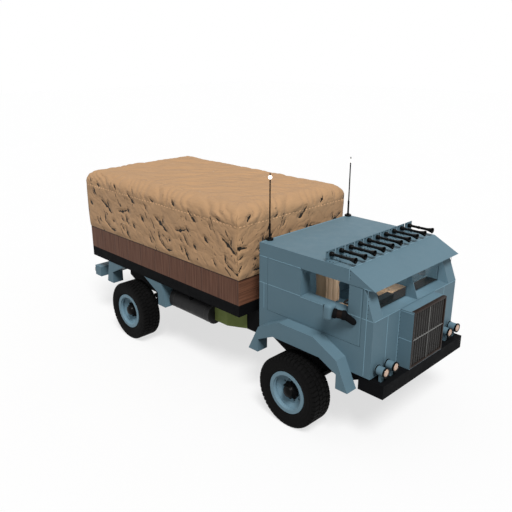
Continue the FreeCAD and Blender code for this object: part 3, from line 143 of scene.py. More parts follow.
CREASES = ((-0.150, 2.270, -0.065, 2.219, 0.007), (-0.065, 2.219, 0.035, 2.163, 0.018),
           (0.035, 2.163, 0.132, 2.086, 0.013), (0.044, 2.273, 0.048, 2.190, 0.009),
           (0.356, 2.166, 0.440, 2.168, 0.008), (0.440, 2.168, 0.520, 2.192, 0.015),
           (0.520, 2.192, 0.601, 2.214, 0.006), (0.619, 2.246, 0.663, 2.194, 0.011),
           (0.666, 2.518, 0.739, 2.430, 0.006), (0.739, 2.430, 0.820, 2.380, 0.016),
           (-0.262, 2.530, -0.190, 2.490, 0.007), (0.270, 2.600, 0.340, 2.530, 0.010),
           (-0.519, 2.196, -0.452, 2.131, 0.014), (0.172, 1.966, 0.205, 1.966, 0.014),
           (-0.081, 2.035, -0.073, 1.921, 0.007), (-0.073, 1.921, 0.110, 1.808, 0.005),
           (0.110, 1.808, 0.229, 1.803, 0.010), (0.548, 2.123, 0.636, 1.995, 0.008),
           (0.551, 1.912, 0.639, 1.762, 0.009), (0.770, 2.030, 0.813, 1.965, 0.013),
           (0.430, 2.055, 0.499, 2.017, 0.005), (0.450, 1.930, 0.500, 1.860, 0.006),
           (-0.420, 2.400, -0.370, 2.330, 0.005), (-0.330, 1.900, -0.270, 1.820, 0.006))
SEAT_INNER = 0.340
SEAT_CHANNELS = 4
CUSHION_REACH = 0.024
CUSHION_FRAMES = 20
CUSHION_VOXEL = 0.014

# What a user would change


def colour(name, description, value):
    return FloatVectorProperty(name=name, description=description, default=value,
                               size=4, min=0, max=1, subtype="COLOR")


def length(name, description, value):
    return FloatProperty(name=name, description=description, default=value,
                         min=0, unit="LENGTH")


class TruckColours(bpy.types.PropertyGroup):
    """The colour of each finish."""

    paint: colour("Body paint", "Blue-grey paint of the cab and fenders",
                  (0.122, 0.204, 0.252, 1))
    rim: colour("Rim paint", "Lighter blue-grey paint of the rims", (0.178, 0.287, 0.352, 1))
    black: colour("Frame black", "Satin black of the frame and bumper",
                  (0.0052, 0.0054, 0.006, 1))
    gloss: colour("Gloss black", "Black of the horns, hubs and antennas", (0.003, 0.003, 0.003, 1))
    canvas: colour("Canvas", "Tan of the canopy", (0.505, 0.305, 0.162, 1))
    # Painted shade: this colour darkens the canopy's creases in place of their shade
    painted_crease_shade: colour("Crease", "Painted shade in the canopy's sharp creases", (0.012, 0.009, 0.006, 1))
    wood: colour("Wood", "Brown of the boards", (0.135, 0.058, 0.032, 1))
    wood_dark: colour("Wood grain", "Dark grain of the boards", (0.07, 0.026, 0.015, 1))
    rubber: colour("Rubber", "Black of the tyres", (0.0042, 0.0041, 0.0041, 1))
    seat: colour("Seat cover", "Tan of the seats", (0.46, 0.305, 0.185, 1))
    tank: colour("Tank grey", "Dark grey of the fuel tanks", (0.018, 0.018, 0.019, 1))
    box: colour("Box green", "Olive green of the stowage boxes", (0.22, 0.275, 0.085, 1))
    lens: colour("Lamp glass", "Peach glass of the headlamps", (0.83, 0.6, 0.46, 1))
    amber: colour("Amber glass", "Amber glass of the tail lamps", (0.85, 0.42, 0.04, 1))
    grille: colour("Grille", "Brown-black frame of the grille", (0.02, 0.012, 0.009, 1))
    slat: colour("Slats", "Dark grey ribs of the grille", (0.03, 0.0285, 0.027, 1))
    trim: colour("Light trim", "Light bars across the grille", (0.2, 0.2, 0.195, 1))


class TruckSizes(bpy.types.PropertyGroup):
    """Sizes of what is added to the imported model."""

    cloth_thickness: length("Cloth thickness", "Thickness of the canvas", 0.004)
    cloth_grid: length("Cloth grid", "Side of the canvas mesh's squares", 0.0245)
    fold_depth: length("Fold depth", "Depth of the canopy's slanting folds", 0.013)
    lift: length("Canvas lift", "How far the canvas stands off its packed shape", 0.020)
    wave_depth: length("Wave depth", "Depth of the long waves on the canopy's top", 0.030)
    pucker_depth: length("Pucker depth", "Depth of the gathers along the round edges", 0.036)
    pucker_pitch: length("Pucker pitch", "Distance between two gathers", 0.19)
    tread_depth: length("Tread depth", "Depth of the grooves between tread blocks", 0.014)
    tread_rows: IntProperty(name="Tread rows", description="Rows of blocks round a tyre",
                            default=48, min=12, max=90)
    rivet_radius: length("Rivet radius", "Radius of the rivets along the panel seams", 0.005)
    rivet_pitch: length("Rivet pitch", "Distance between two rivets", 0.05)
    seam_width: length("Seam width", "Width of the bead on a panel seam", 0.007)
    nut_count: IntProperty(name="Wheel nuts", description="Nuts round each hub",
                           default=10, min=4, max=16)


class TruckStage(bpy.types.PropertyGroup):
    """The camera and the lamps."""

    distance: length("Camera distance", "From the camera to the point it looks at", 9.56)
    azimuth: FloatProperty(name="Azimuth", description="Camera's angle round the truck",
                           default=math.radians(-44.886), subtype="ANGLE")
    elevation: FloatProperty(name="Elevation", description="Camera's angle above the floor",
                             default=math.radians(19.103), subtype="ANGLE")
    lens: FloatProperty(name="Focal length", description="On a sensor 36 mm wide",
                        default=42.54, min=10, max=200, unit="CAMERA")
    sun: FloatProperty(name="Key light", description="Strength of the soft sun", default=2.7,
                       min=0)
    sky: FloatProperty(name="Sky light", description="Strength of the even light", default=0.31,
                       min=0)
    cab: FloatProperty(name="Cab light", description="Strength of the lamp inside the cab",
                       default=18.0, min=0, unit="POWER")


# Making and merging shapes


def join(bm, part, finish, place=None):
    """Moves one shape into another mesh and gives it a finish."""
    if place is not None:
        bmesh.ops.transform(part, matrix=place, verts=part.verts)
    for face in part.faces:
        face.material_index = finish
    store = bpy.data.meshes.new("store")
    part.to_mesh(store)
    part.free()
    bm.from_mesh(store)
    bpy.data.meshes.remove(store)


def soften(part, edges, offset, segments):
    """Rounds the given edges."""
    bmesh.ops.bevel(part, geom=edges, offset=offset, offset_type="OFFSET", affect="EDGES",
                    segments=segments, profile=0.5, material=-1)


def everything(part):
    """All the vertices, edges and faces of a shape."""
    return part.verts[:] + part.edges[:] + part.faces[:]


def block(low, high, bevel=0.0, segments=2):
    """A block between two corners, its edges rounded."""
    low, high = Vector(low), Vector(high)
    part = bmesh.new()
    place = Matrix.Translation((low + high) / 2) @ Matrix.Diagonal((*(high - low), 1))
    bmesh.ops.create_cube(part, size=1, matrix=place)
    if bevel:
        soften(part, part.edges[:], bevel, segments)
    return part


def slab(centre, half, bevel, segments=2):
    """A rounded block round a centre."""
    return block(centre - half, centre + half, bevel, segments)


def lathe(profile, steps):
    """A profile of (along, radius) turned about the X axis."""
    part = bmesh.new()
    points = [part.verts.new((along, radius, 0)) for along, radius in profile]
    for first, second in zip(points, points[1:]):
        part.edges.new((first, second))
    bmesh.ops.spin(part, geom=part.verts[:] + part.edges[:], cent=(0, 0, 0), axis=(1, 0, 0),
                   angle=math.tau, steps=steps, use_merge=True)
    bmesh.ops.remove_doubles(part, verts=part.verts, dist=1e-6)
    bmesh.ops.recalc_face_normals(part, faces=part.faces)
    return part


def ring(profile, along, radius, steps):
    """A lathe's shape whose profile is measured from a place on the axis and a radius."""
    return lathe([(along + x, radius + r) for x, r in profile], steps)


def rod(start, end, radius, end_radius=None, sides=16):
    """A round rod, or a taper, between two points."""
    start, end = Vector(start), Vector(end)
    run = end - start
    place = Matrix.Translation((start + end) / 2) @ run.to_track_quat("Z", "Y").to_matrix().to_4x4()
    part = bmesh.new()
    bmesh.ops.create_cone(part, cap_ends=True, segments=sides, radius1=radius,
                          radius2=radius if end_radius is None else end_radius,
                          depth=run.length, matrix=place)
    return part


def ball(centre, radius):
    part = bmesh.new()
    bmesh.ops.create_icosphere(part, subdivisions=3, radius=radius,
                               matrix=Matrix.Translation(centre))
    return part


def outline(points, run):
    """A flat outline pushed along a vector."""
    part = bmesh.new()
    face = part.faces.new([part.verts.new(point) for point in points])
    pushed = bmesh.ops.extrude_face_region(part, geom=[face])
    moved = [item for item in pushed["geom"] if isinstance(item, bmesh.types.BMVert)]
    bmesh.ops.translate(part, vec=run, verts=moved)
    bmesh.ops.recalc_face_normals(part, faces=part.faces)
    return part


def make_piece(name, bm, finishes, body, sharp=35):
    """A finished piece with smooth faces, sharp where they meet at a steep angle."""
    for face in bm.faces:
        face.smooth = True
    for edge in bm.edges:
        edge.smooth = edge.is_manifold and edge.calc_face_angle(0) < math.radians(sharp)
    mesh = bpy.data.meshes.new(name)
    bm.to_mesh(mesh)
    bm.free()
    for finish in finishes:
        mesh.materials.append(finish)
    piece = bpy.data.objects.new(name, mesh)
    bpy.context.scene.collection.objects.link(piece)
    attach(piece, body)
    return piece


# Building finishes out of shader nodes


class Finish:
    """A material under construction: short calls add and join its nodes."""

    def __init__(self, name, base, roughness, metallic=0.0, specular=0.5):
        self.material = bpy.data.materials.new(name)
        self.material.use_nodes = True
        self.material.diffuse_color = base
        self.tree = self.material.node_tree
        self.shader = self.tree.nodes["Principled BSDF"]
        self.set("Base Color", base)
        self.set("Roughness", roughness)
        self.set("Metallic", metallic)
        self.set("Specular IOR Level", specular)
        self.place = self.add("ShaderNodeTexCoord").outputs["Object"]

    def set(self, socket, value):
        self.shader.inputs[socket].default_value = value

    def link(self, source, target):
        self.tree.links.new(source, target)

    def feed(self, socket, source):
        self.link(source, self.shader.inputs[socket])

    def add(self, kind, **settings):
        node = self.tree.nodes.new(kind)
        for key, value in settings.items():
            setattr(node, key, value)
        return node

    def spread(self, scale, source=None):
        """Coordinates stretched along their axes."""
        node = self.add("ShaderNodeMapping")
        node.inputs["Scale"].default_value = scale
        self.link(source or self.place, node.inputs["Vector"])
        return node.outputs["Vector"]

    def noise(self, scale, detail=3.0, roughness=0.5, distortion=0.0, source=None):
        node = self.add("ShaderNodeTexNoise")
        node.inputs["Scale"].default_value = scale
        node.inputs["Detail"].default_value = detail
        node.inputs["Roughness"].default_value = roughness
        node.inputs["Distortion"].default_value = distortion
        self.link(source or self.place, node.inputs["Vector"])
        return node.outputs["Fac"]

    def wave(self, scale, direction):
        node = self.add("ShaderNodeTexWave", wave_type="BANDS", bands_direction=direction)
        node.inputs["Scale"].default_value = scale
        self.link(self.place, node.inputs["Vector"])
        return node.outputs["Fac"]

    def math(self, operation, first, second=0.0, third=0.0):
        node = self.add("ShaderNodeMath", operation=operation)
        for socket, value in zip(node.inputs, (first, second, third)):
            if isinstance(value, (int, float)):
                socket.default_value = value
            else:
                self.link(value, socket)
        return node.outputs["Value"]

    def band(self, value, low, high, start=0.0, end=1.0):
        """Maps a value from one range to another and keeps it inside."""
        node = self.add("ShaderNodeMapRange")
        self.link(value, node.inputs["Value"])
        for socket, number in zip(("From Min", "From Max", "To Min", "To Max"),
                                  (low, high, start, end)):
            node.inputs[socket].default_value = number
        return node.outputs["Result"]

    def mix(self, share, first, second):
        node = self.add("ShaderNodeMix", data_type="RGBA")
        self.link(share, node.inputs[0])
        for socket, value in ((node.inputs[6], first), (node.inputs[7], second)):
            if hasattr(value, "links"):
                self.link(value, socket)
            else:
                socket.default_value = value
        return node.outputs[2]

    def mix_values(self, share, first, second):
        """A share of the second value and the rest of the first."""
        node = self.add("ShaderNodeMix", data_type="FLOAT")
        self.link(share, node.inputs[0])
        self.link(first, node.inputs[2])
        self.link(second, node.inputs[3])
        return node.outputs[0]

    def turned(self, source, degrees, scale):
        """Coordinates turned first and then stretched along the turned axes."""
        turn = self.add("ShaderNodeMapping")
        turn.inputs["Rotation"].default_value = (0, 0, math.radians(degrees))
        self.link(source, turn.inputs["Vector"])
        return self.spread(scale, source=turn.outputs["Vector"])

    def ridges(self, source, scale, detail):
        """Rounded folds with sharp valleys between them."""
        centred = self.math("SUBTRACT", self.noise(scale, detail, 0.5, 0.3, source), 0.5)
        return self.math("POWER", self.math("MULTIPLY", self.math("ABSOLUTE", centred), 4), 0.6)

    def strokes(self, spot, lines):
        """How far a place lies inside the nearest of several tapering strokes."""
        deepest = None
        for start_x, start_y, end_x, end_y, half in lines:
            run = Vector((end_x - start_x, end_y - start_y, 0))
            local = self.add("ShaderNodeVectorMath", operation="SUBTRACT")
            self.link(spot, local.inputs[0])
            local.inputs[1].default_value = (start_x, start_y, 0)
            share = self.add("ShaderNodeVectorMath", operation="DOT_PRODUCT")
            self.link(local.outputs["Vector"], share.inputs[0])
            share.inputs[1].default_value = run / run.length_squared
            share = self.band(share.outputs["Value"], 0, 1)
            nearest = self.add("ShaderNodeVectorMath", operation="SCALE")
            nearest.inputs[0].default_value = run
            self.link(share, nearest.inputs["Scale"])
            gap = self.add("ShaderNodeVectorMath", operation="DISTANCE")
            self.link(local.outputs["Vector"], gap.inputs[0])
            self.link(nearest.outputs["Vector"], gap.inputs[1])
            taper = self.math("PINGPONG", share, 0.5)
            width = self.math("MULTIPLY_ADD", taper, half * 2.4, half * 0.5)
            inside = self.math("SUBTRACT", width, gap.outputs["Value"])
            deepest = self.math("MAXIMUM", deepest, inside) if deepest else inside
        return deepest

    def axes(self, source=None):
        node = self.add("ShaderNodeSeparateXYZ")
        self.link(source or self.place, node.inputs["Vector"])
        return node.outputs

    def bump(self, height, distance, strength, under=None):
        node = self.add("ShaderNodeBump")
        node.inputs["Distance"].default_value = distance
        node.inputs["Strength"].default_value = strength
        self.link(height, node.inputs["Height"])
        if under is not None:
            self.link(under, node.inputs["Normal"])
        self.feed("Normal", node.outputs["Normal"])
        return node.outputs["Normal"]


def tone(value, factor):
    """The same colour, lighter or darker."""
    return (*(min(1, part * factor) for part in value[:3]), 1)


def painted(name, base, roughness, grain=0.0004, wear=0.06, specular=0.15):
    """Sprayed paint: soft clouds of tone, orange peel and uneven gloss."""
    finish = Finish(name, base, roughness, specular=specular)
    clouds = finish.noise(1.7, 4, 0.55)
    finish.feed("Base Color", finish.mix(clouds, tone(base, 1 - wear), tone(base, 1 + wear)))
    finish.feed("Roughness", finish.band(finish.noise(9, 5), 0.3, 0.7,
                                         roughness - 0.06, roughness + 0.08))
    finish.bump(finish.noise(210, 2), grain, 0.6)
    return finish.material


def canvas_finish(colours):
    """Woven canvas with soft wrinkles, a stitched seam and painted shade in the creases on its
    upright walls.
    """
    finish = Finish("canvas", colours.canvas, 0.9, specular=0.1)
    finish.set("Sheen Weight", 0.1)
    finish.set("Sheen Roughness", 0.6)
    facing = finish.axes(finish.add("ShaderNodeTexCoord").outputs["Normal"])
    upright = finish.band(finish.math("ABSOLUTE", facing["Z"]), 0.35, 0.7, 1, 0)
    end_wall = finish.band(finish.math("ABSOLUTE", facing["Y"]), 0.45, 0.55)
    place = finish.axes()
    along = finish.mix_values(end_wall, finish.math("MULTIPLY", place["Y"], -1.0),
                              finish.math("MULTIPLY", place["X"], -1.0))
    spot = finish.add("ShaderNodeCombineXYZ")
    finish.link(along, spot.inputs["X"])
    finish.link(place["Z"], spot.inputs["Y"])
    finish.link(finish.mix_values(end_wall, place["X"], place["Y"]), spot.inputs["Z"])
    wall = spot.outputs["Vector"]
    tile = finish.math("FLOORED_MODULO", finish.math("ADD", along, CREASE_SHIFT), CREASE_PERIOD)
    ragged = finish.math("MULTIPLY_ADD", finish.noise(15, 4, 0.65, 0, wall), 0.06, -0.03)
    rough = finish.math("MULTIPLY_ADD", finish.noise(19, 4, 0.65, 0.6, wall), 0.06, -0.03)
    motif = finish.add("ShaderNodeCombineXYZ")
    finish.link(finish.math("ADD", finish.math("SUBTRACT", tile, CREASE_REACH), ragged),
                motif.inputs["X"])
    finish.link(finish.math("ADD", place["Z"], rough), motif.inputs["Y"])
    # Painted shade: strokes, slanted ticks and spots darken the upright walls as shaded deep
    # creases
    inside = finish.strokes(motif.outputs["Vector"], CREASES)
    gash = finish.band(inside, -0.005, -0.001)
    tick = finish.band(finish.noise(1.3, 3, 0.6, 0.35, finish.turned(wall, 58, (3.0, 13, 0.3))),
                       0.655, 0.675)
    dots = finish.band(finish.noise(11, 3, 0.6, 0.2, wall), 0.70, 0.72)
    marks = finish.math("MAXIMUM", gash, finish.math("MAXIMUM", tick, dots))
    painted_crease_shade = finish.math("MULTIPLY", marks, upright)
    level = finish.math("ABSOLUTE", finish.math("SUBTRACT", place["Z"], SEAM_HEIGHT))
    dashes = finish.math("GREATER_THAN", finish.math("FLOORED_MODULO", along, 0.07), 0.03)
    stitch = finish.math("MULTIPLY", finish.band(level, 0.006, 0.008, 1, 0), dashes)
    groove = finish.band(level, 0.0, 0.016, 1, 0)
    clouds = finish.noise(2.3, 5, 0.6)
    cloth = finish.mix(clouds, tone(colours.canvas, 0.94), tone(colours.canvas, 1.06))
    cloth = finish.mix(finish.math("MULTIPLY", groove, 0.15), cloth, tone(colours.canvas, 0.5))
    cloth = finish.mix(finish.math("MULTIPLY", stitch, 0.9), cloth, tone(colours.canvas, 1.8))
    finish.feed("Base Color", finish.mix(painted_crease_shade, cloth, colours.painted_crease_shade))
    folds = finish.math("ADD", finish.ridges(finish.turned(wall, 35, (3.4, 6.5, 1)), 1.0, 2),
                        finish.noise(1.0, 3, 0.5, 0.4, finish.turned(wall, 55, (6, 11, 1))))
    across = finish.noise(1.0, 3, 0.5, 0.5, finish.turned(finish.place, 45, (2.6, 9, 1)))
    wrinkles = finish.mix_values(upright, finish.math("MULTIPLY", across, 5.0), folds)
    under = finish.bump(wrinkles, 0.010, 0.7)
    pull = finish.math("MULTIPLY", finish.band(inside, -0.045, 0.004, 1, 0), upright)
    under = finish.bump(pull, 0.014, 0.9, under)
    under = finish.bump(finish.math("SUBTRACT", 1.0, groove), 0.003, 0.5, under)
    weave = finish.math("MULTIPLY", finish.wave(60, "Y"), finish.wave(60, "Z"))
    finish.bump(weave, 0.0006, 0.4, under)
    return finish.material


def wood_finish(colours):
    """Oiled boards: upright on the sides, lying across on the ends and the floor, whose faces are
    painted lighter than the sides as painted light.
    """
    finish = Finish("bed wood", colours.wood, 0.62, specular=0.3)
    facing = finish.axes(finish.add("ShaderNodeTexCoord").outputs["Normal"])
    side = finish.band(finish.math("ABSOLUTE", facing["X"]), 0.4, 0.6)
    upright = finish.spread((1, 62, 1.4))
    lying = finish.spread((1.4, 1.4, 46))
    streaks = finish.mix(side, finish.noise(1.0, 6, 0.6, 0.5, lying),
                         finish.noise(1.0, 6, 0.6, 0.5, upright))
    planks = finish.mix(side, finish.wave(1.65, "Z"), finish.wave(0.82, "Y"))
    gaps = finish.band(planks, 0.0, 0.006, 0.6, 0)
    # Painted light: boards facing up, forward or back are painted 1.7 times lighter, the side
    # boards only 1.05
    light = finish.mix(side, tone(colours.wood, 1.7), tone(colours.wood, 1.05))
    grain = finish.mix(finish.band(streaks, 0.34, 0.62), colours.wood_dark, light)
    height = finish.axes()["Z"]
    rim = finish.math("MULTIPLY", finish.band(height, 1.696, 1.702),
                      finish.band(height, 1.716, 1.7175, 1, 0))
    edge = finish.math("MAXIMUM", finish.math("MULTIPLY", rim, 0.8), gaps)
    finish.feed("Base Color", finish.mix(edge, grain, tone(colours.wood_dark, 0.35)))
    finish.feed("Roughness", finish.band(streaks, 0.3, 0.7, 0.72, 0.52))
    under = finish.bump(streaks, 0.003, 0.6)
    finish.bump(finish.math("SUBTRACT", 1.0, gaps), 0.004, 0.8, under)
    return finish.material


class Finishes:
    """Every finish of the truck, made once and found by name."""

    def __init__(self, colours):
        self.paint = painted("body paint", colours.paint, 0.5)
        # Painted highlight: the seam beads get a paint 1.9 times lighter than the body, for the
        # light along them
        self.edge = painted("seam bead painted highlight", tone(colours.paint, 1.9), 0.45)
        self.rim = painted("rim paint", colours.rim, 0.42)
        self.black = painted("frame black", colours.black, 0.7, 0.0008, 0.2, specular=0.04)
        self.gloss = painted("gloss black", colours.gloss, 0.28, 0.0002, 0.15, specular=0.07)
        self.soot = painted("soot brown", tone(colours.grille, 0.5), 0.6, 0.0004, 0.2,
                            specular=0.06)
        self.tank = painted("tank grey", colours.tank, 0.5, 0.0004, 0.1, specular=0.15)
        self.box = painted("box green", colours.box, 0.6, 0.0008, 0.08)
        self.grille = painted("grille frame", colours.grille, 0.5, 0.0004, 0.15, specular=0.15)
        self.slat = painted("grille slats", colours.slat, 0.4, 0.0003, 0.12, specular=0.2)
        self.trim = painted("light trim", colours.trim, 0.35, 0.0002, 0.05)
        self.iron = iron_finish(colours)
        self.wood = wood_finish(colours)
        self.canvas = canvas_finish(colours)
        self.rubber = rubber_finish(colours)
        self.seat = seat_finish(colours)
        self.dash = dash_finish(colours)
        self.glass = glass_finish("clear glass", (0.02, 0.05, 0.055, 1), 0.0, 0.12)
        self.lens = glass_finish("lamp glass", colours.lens, 0.25)
        self.amber = glass_finish("amber lens", colours.amber, 0.3)
        self.mirror = mirror_finish()
        # Painted glow for the antenna tips, which are no lamps
        self.glow = painted_glow_finish()


def iron_finish(colours):
    """Rough cast iron with oily patches."""
    finish = Finish("cast iron", tone(colours.tank, 1.4), 0.75, metallic=0.4)
    oil = finish.band(finish.noise(6, 5, 0.6), 0.45, 0.6)
    finish.feed("Base Color", finish.mix(oil, tone(colours.tank, 1.6), tone(colours.tank, 0.7)))
    finish.feed("Roughness", finish.band(oil, 0, 1, 0.8, 0.45))
    finish.bump(finish.noise(160, 4), 0.0015, 0.7)
    return finish.material


def rubber_finish(colours):
    """Tyre rubber with a little dust in its pores."""
    finish = Finish("tyre rubber", colours.rubber, 0.85, specular=0.06)
    dust = finish.band(finish.noise(14, 5, 0.65), 0.5, 0.75)
    finish.feed("Base Color", finish.mix(dust, colours.rubber, tone(colours.rubber, 1.8)))
    finish.feed("Roughness", finish.band(dust, 0, 1, 0.72, 0.9))
    finish.bump(finish.noise(300, 3), 0.0008, 0.5)
    return finish.material


def seat_finish(colours):
    """Woven seat cover whose hollows are painted darker as painted shade, and a soft nap."""
    finish = Finish("seat cover", colours.seat, 0.88, specular=0.2)
    finish.set("Sheen Weight", 0.3)
    finish.set("Sheen Roughness", 0.5)
    clouds = finish.noise(6, 4, 0.6)
    # Painted shade: the clouds that dent the cover also darken its hollows
    finish.feed("Base Color", finish.mix(clouds, tone(colours.seat, 0.86), tone(colours.seat, 1.1)))
    weave = finish.math("MULTIPLY", finish.wave(70, "X"), finish.wave(70, "Z"))
    under = finish.bump(clouds, 0.006, 0.4)
    finish.bump(weave, 0.0007, 0.6, under)
    return finish.material


def dash_finish(colours):
    """Moulded plastic with a leather-like grain."""
    finish = Finish("dash plastic", tone(colours.grille, 0.8), 0.6)
    grain = finish.add("ShaderNodeTexVoronoi")
    grain.inputs["Scale"].default_value = 260
    finish.link(finish.place, grain.inputs["Vector"])
    clouds = finish.noise(4, 3)
    finish.feed("Base Color", finish.mix(clouds, tone(colours.grille, 0.6), colours.grille))
    finish.bump(grain.outputs["Distance"], 0.0008, 0.6)
    return finish.material


def glass_finish(name, base, clearness, alpha=1.0):
    """Glass with faint smears."""
    finish = Finish(name, base, 0.04, specular=0.5)
    finish.set("Transmission Weight", clearness)
    finish.set("Alpha", alpha)
    finish.set("IOR", 1.45)
    smears = finish.band(finish.noise(5, 4, 0.6), 0.4, 0.8, 0.02, 0.1)
    finish.feed("Roughness", smears)
    finish.bump(finish.noise(40, 2), 0.0002, 0.3)
    return finish.material


def mirror_finish():
    """Silvered glass."""
    finish = Finish("mirror glass", (0.75, 0.78, 0.8, 1), 0.05, metallic=1.0)
    finish.feed("Roughness", finish.band(finish.noise(8, 3), 0.4, 0.8, 0.03, 0.09))
    return finish.material


def painted_glow_finish():
    """A small white ball with a painted glow: it shines though it is no lamp."""
    finish = Finish("antenna tip painted glow", (0.9, 0.9, 0.88, 1), 0.3)
    finish.set("Emission Color", (1, 0.97, 0.92, 1))
    finish.feed("Emission Strength", finish.band(finish.noise(60, 2), 0.2, 0.8, 1.6, 2.2))
    return finish.material


# The stage: camera, lamps, floor


def build_stage(settings):
    scene = bpy.context.scene
    scene.view_settings.view_transform = "Standard"
    turn, rise = settings.azimuth, settings.elevation
    back = Vector((math.sin(turn) * math.cos(rise), -math.cos(turn) * math.cos(rise),
                   math.sin(rise)))
    camera = bpy.data.objects.new("camera", bpy.data.cameras.new("camera"))
    camera.data.lens = settings.lens
    camera.data.clip_end = VIEW_REACH
    camera.location = CAMERA_AIM + back * settings.distance
    camera.rotation_euler = (-back).to_track_quat("-Z", "Y").to_euler()
    scene.collection.objects.link(camera)
    scene.camera = camera
    lamp = bpy.data.objects.new("soft sun", bpy.data.lights.new("soft sun", "SUN"))
    lamp.data.energy = settings.sun
    lamp.data.angle = math.radians(SUN_SPREAD)
    lamp.rotation_euler = Vector(SUN_FROM).to_track_quat("Z", "Y").to_euler()
    scene.collection.objects.link(lamp)
    inside = bpy.data.objects.new("cab lamp", bpy.data.lights.new("cab lamp", "POINT"))
    inside.data.energy = settings.cab
    inside.data.shadow_soft_size = CAB_LAMP_RADIUS
    inside.location = CAB_LAMP
    inside.visible_camera = False
    inside.visible_glossy = False
    scene.collection.objects.link(inside)
    build_world(scene, settings.sky)
    part = bmesh.new()
    bmesh.ops.create_grid(part, x_segments=4, y_segments=4, size=FLOOR_HALF)
    mesh = bpy.data.meshes.new("floor")
    part.to_mesh(mesh)
    part.free()
    floor = bpy.data.objects.new("floor", mesh)
    scene.collection.objects.link(floor)
    mesh.materials.append(floor_finish())


def build_world(scene, strength):
    """Even white light, and a plain white background for the camera."""
    world = bpy.data.worlds.new("studio")
    scene.world = world
    world.use_nodes = True
    tree = world.node_tree
    shade = tree.nodes["Background"]
    shade.inputs["Color"].default_value = (1, 1, 1, 1)
    shade.inputs["Strength"].default_value = strength
    white = tree.nodes.new("ShaderNodeBackground")
    white.inputs["Color"].default_value = (1, 1, 1, 1)
    mixer = tree.nodes.new("ShaderNodeMixShader")
    tree.links.new(seen_directly(tree), mixer.inputs["Fac"])
    tree.links.new(shade.outputs["Background"], mixer.inputs[1])
    tree.links.new(white.outputs["Background"], mixer.inputs[2])
    tree.links.new(mixer.outputs["Shader"], tree.nodes["World Output"].inputs["Surface"])


def seen_directly(tree):
    """One for rays of the camera, of reflections and through glass, otherwise nought."""
    path = tree.nodes.new("ShaderNodeLightPath")
    total = path.outputs["Is Camera Ray"]
    for name in ("Is Glossy Ray", "Is Transmission Ray"):
        larger = tree.nodes.new("ShaderNodeMath")
        larger.operation = "MAXIMUM"
        tree.links.new(total, larger.inputs[0])
        tree.links.new(path.outputs[name], larger.inputs[1])
        total = larger.outputs["Value"]
    return total


def floor_finish():
    """A white floor to look at that keeps a soft shadow and throws back little light."""
    finish = Finish("pale floor", (0.97, 0.97, 0.97, 1), 0.95, specular=0.0)
    seen = seen_directly(finish.tree)
    shades = finish.mix(finish.noise(0.8), (0.96, 0.96, 0.96, 1), (0.985, 0.985, 0.985, 1))
    finish.feed("Base Color", finish.mix(seen, FLOOR_BOUNCE, shades))
    glow = finish.add("ShaderNodeEmission")
    glow.inputs["Color"].default_value = (1, 1, 1, 1)
    mixer = finish.add("ShaderNodeMixShader")
    finish.link(finish.math("MULTIPLY", seen, FLOOR_GLOW), mixer.inputs["Fac"])
    finish.link(finish.shader.outputs["BSDF"], mixer.inputs[1])
    finish.link(glow.outputs["Emission"], mixer.inputs[2])
    finish.link(mixer.outputs["Shader"], finish.tree.nodes["Material Output"].inputs["Surface"])
    return finish.material


# The canvas canopy


def fold_offset(point, half, seam, sizes):
    """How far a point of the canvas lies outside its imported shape."""
    aside, ahead = half.x - abs(point.x), half.y - abs(point.y)
    along = -point.y if aside < ahead else -point.x
    inward = max(0, min(aside, ahead) - ROUND_EDGE)
    climb = point.z - seam + max(0, min(aside, ahead))
    depth = point.x + point.y
    broad = noise.noise(Vector((along * 1.6 + point.z, point.z * 2.6 - along * 0.8, depth * 0.4)))
    crisp = ridge(Vector((along * 2 + point.z * 1.4, point.z * 4 - along * 1.8, depth * 0.5 + 4)))
    offset = sizes.lift + (broad * 0.9 + (crisp - 0.6) * 0.6) * sizes.fold_depth
    drift = Vector((point.x - point.y, point.x + point.y, 0)) * 0.71
    wave = ridge(Vector((drift.x * 1.5, drift.y * 4.2, 3.7))) - 0.6
    wave += 0.6 * noise.noise(Vector((drift.x * 3.0, drift.y * 9, 8.1)))
    offset += wave * min(1, inward / 0.10) * sizes.wave_depth
    rise, fall = min(1, max(0, climb) / 0.07), max(0, 1 - inward / 0.28)
    wander = noise.noise(Vector((along * 1.3, climb * 1.6, 1.3))) * 2.2
    wander += noise.noise(Vector((along * 3.4, climb * 3.5, 5.1))) * 0.8
    phase = (along + climb * 0.8) / sizes.pucker_pitch + wander
    lobe = math.sqrt(abs(math.sin(math.pi * phase)))
    strength = 0.45 + 0.9 * abs(noise.noise(Vector((along * 1.9, climb * 2.0, 9.3))))
    return offset + (lobe - 0.62) * strength * rise * fall * sizes.pucker_depth


def ridge(place):
    """Noise folded into rounded crests with sharp valleys, from nought to one."""
    return min(1, 2.6 * abs(noise.noise(place))) ** 0.6


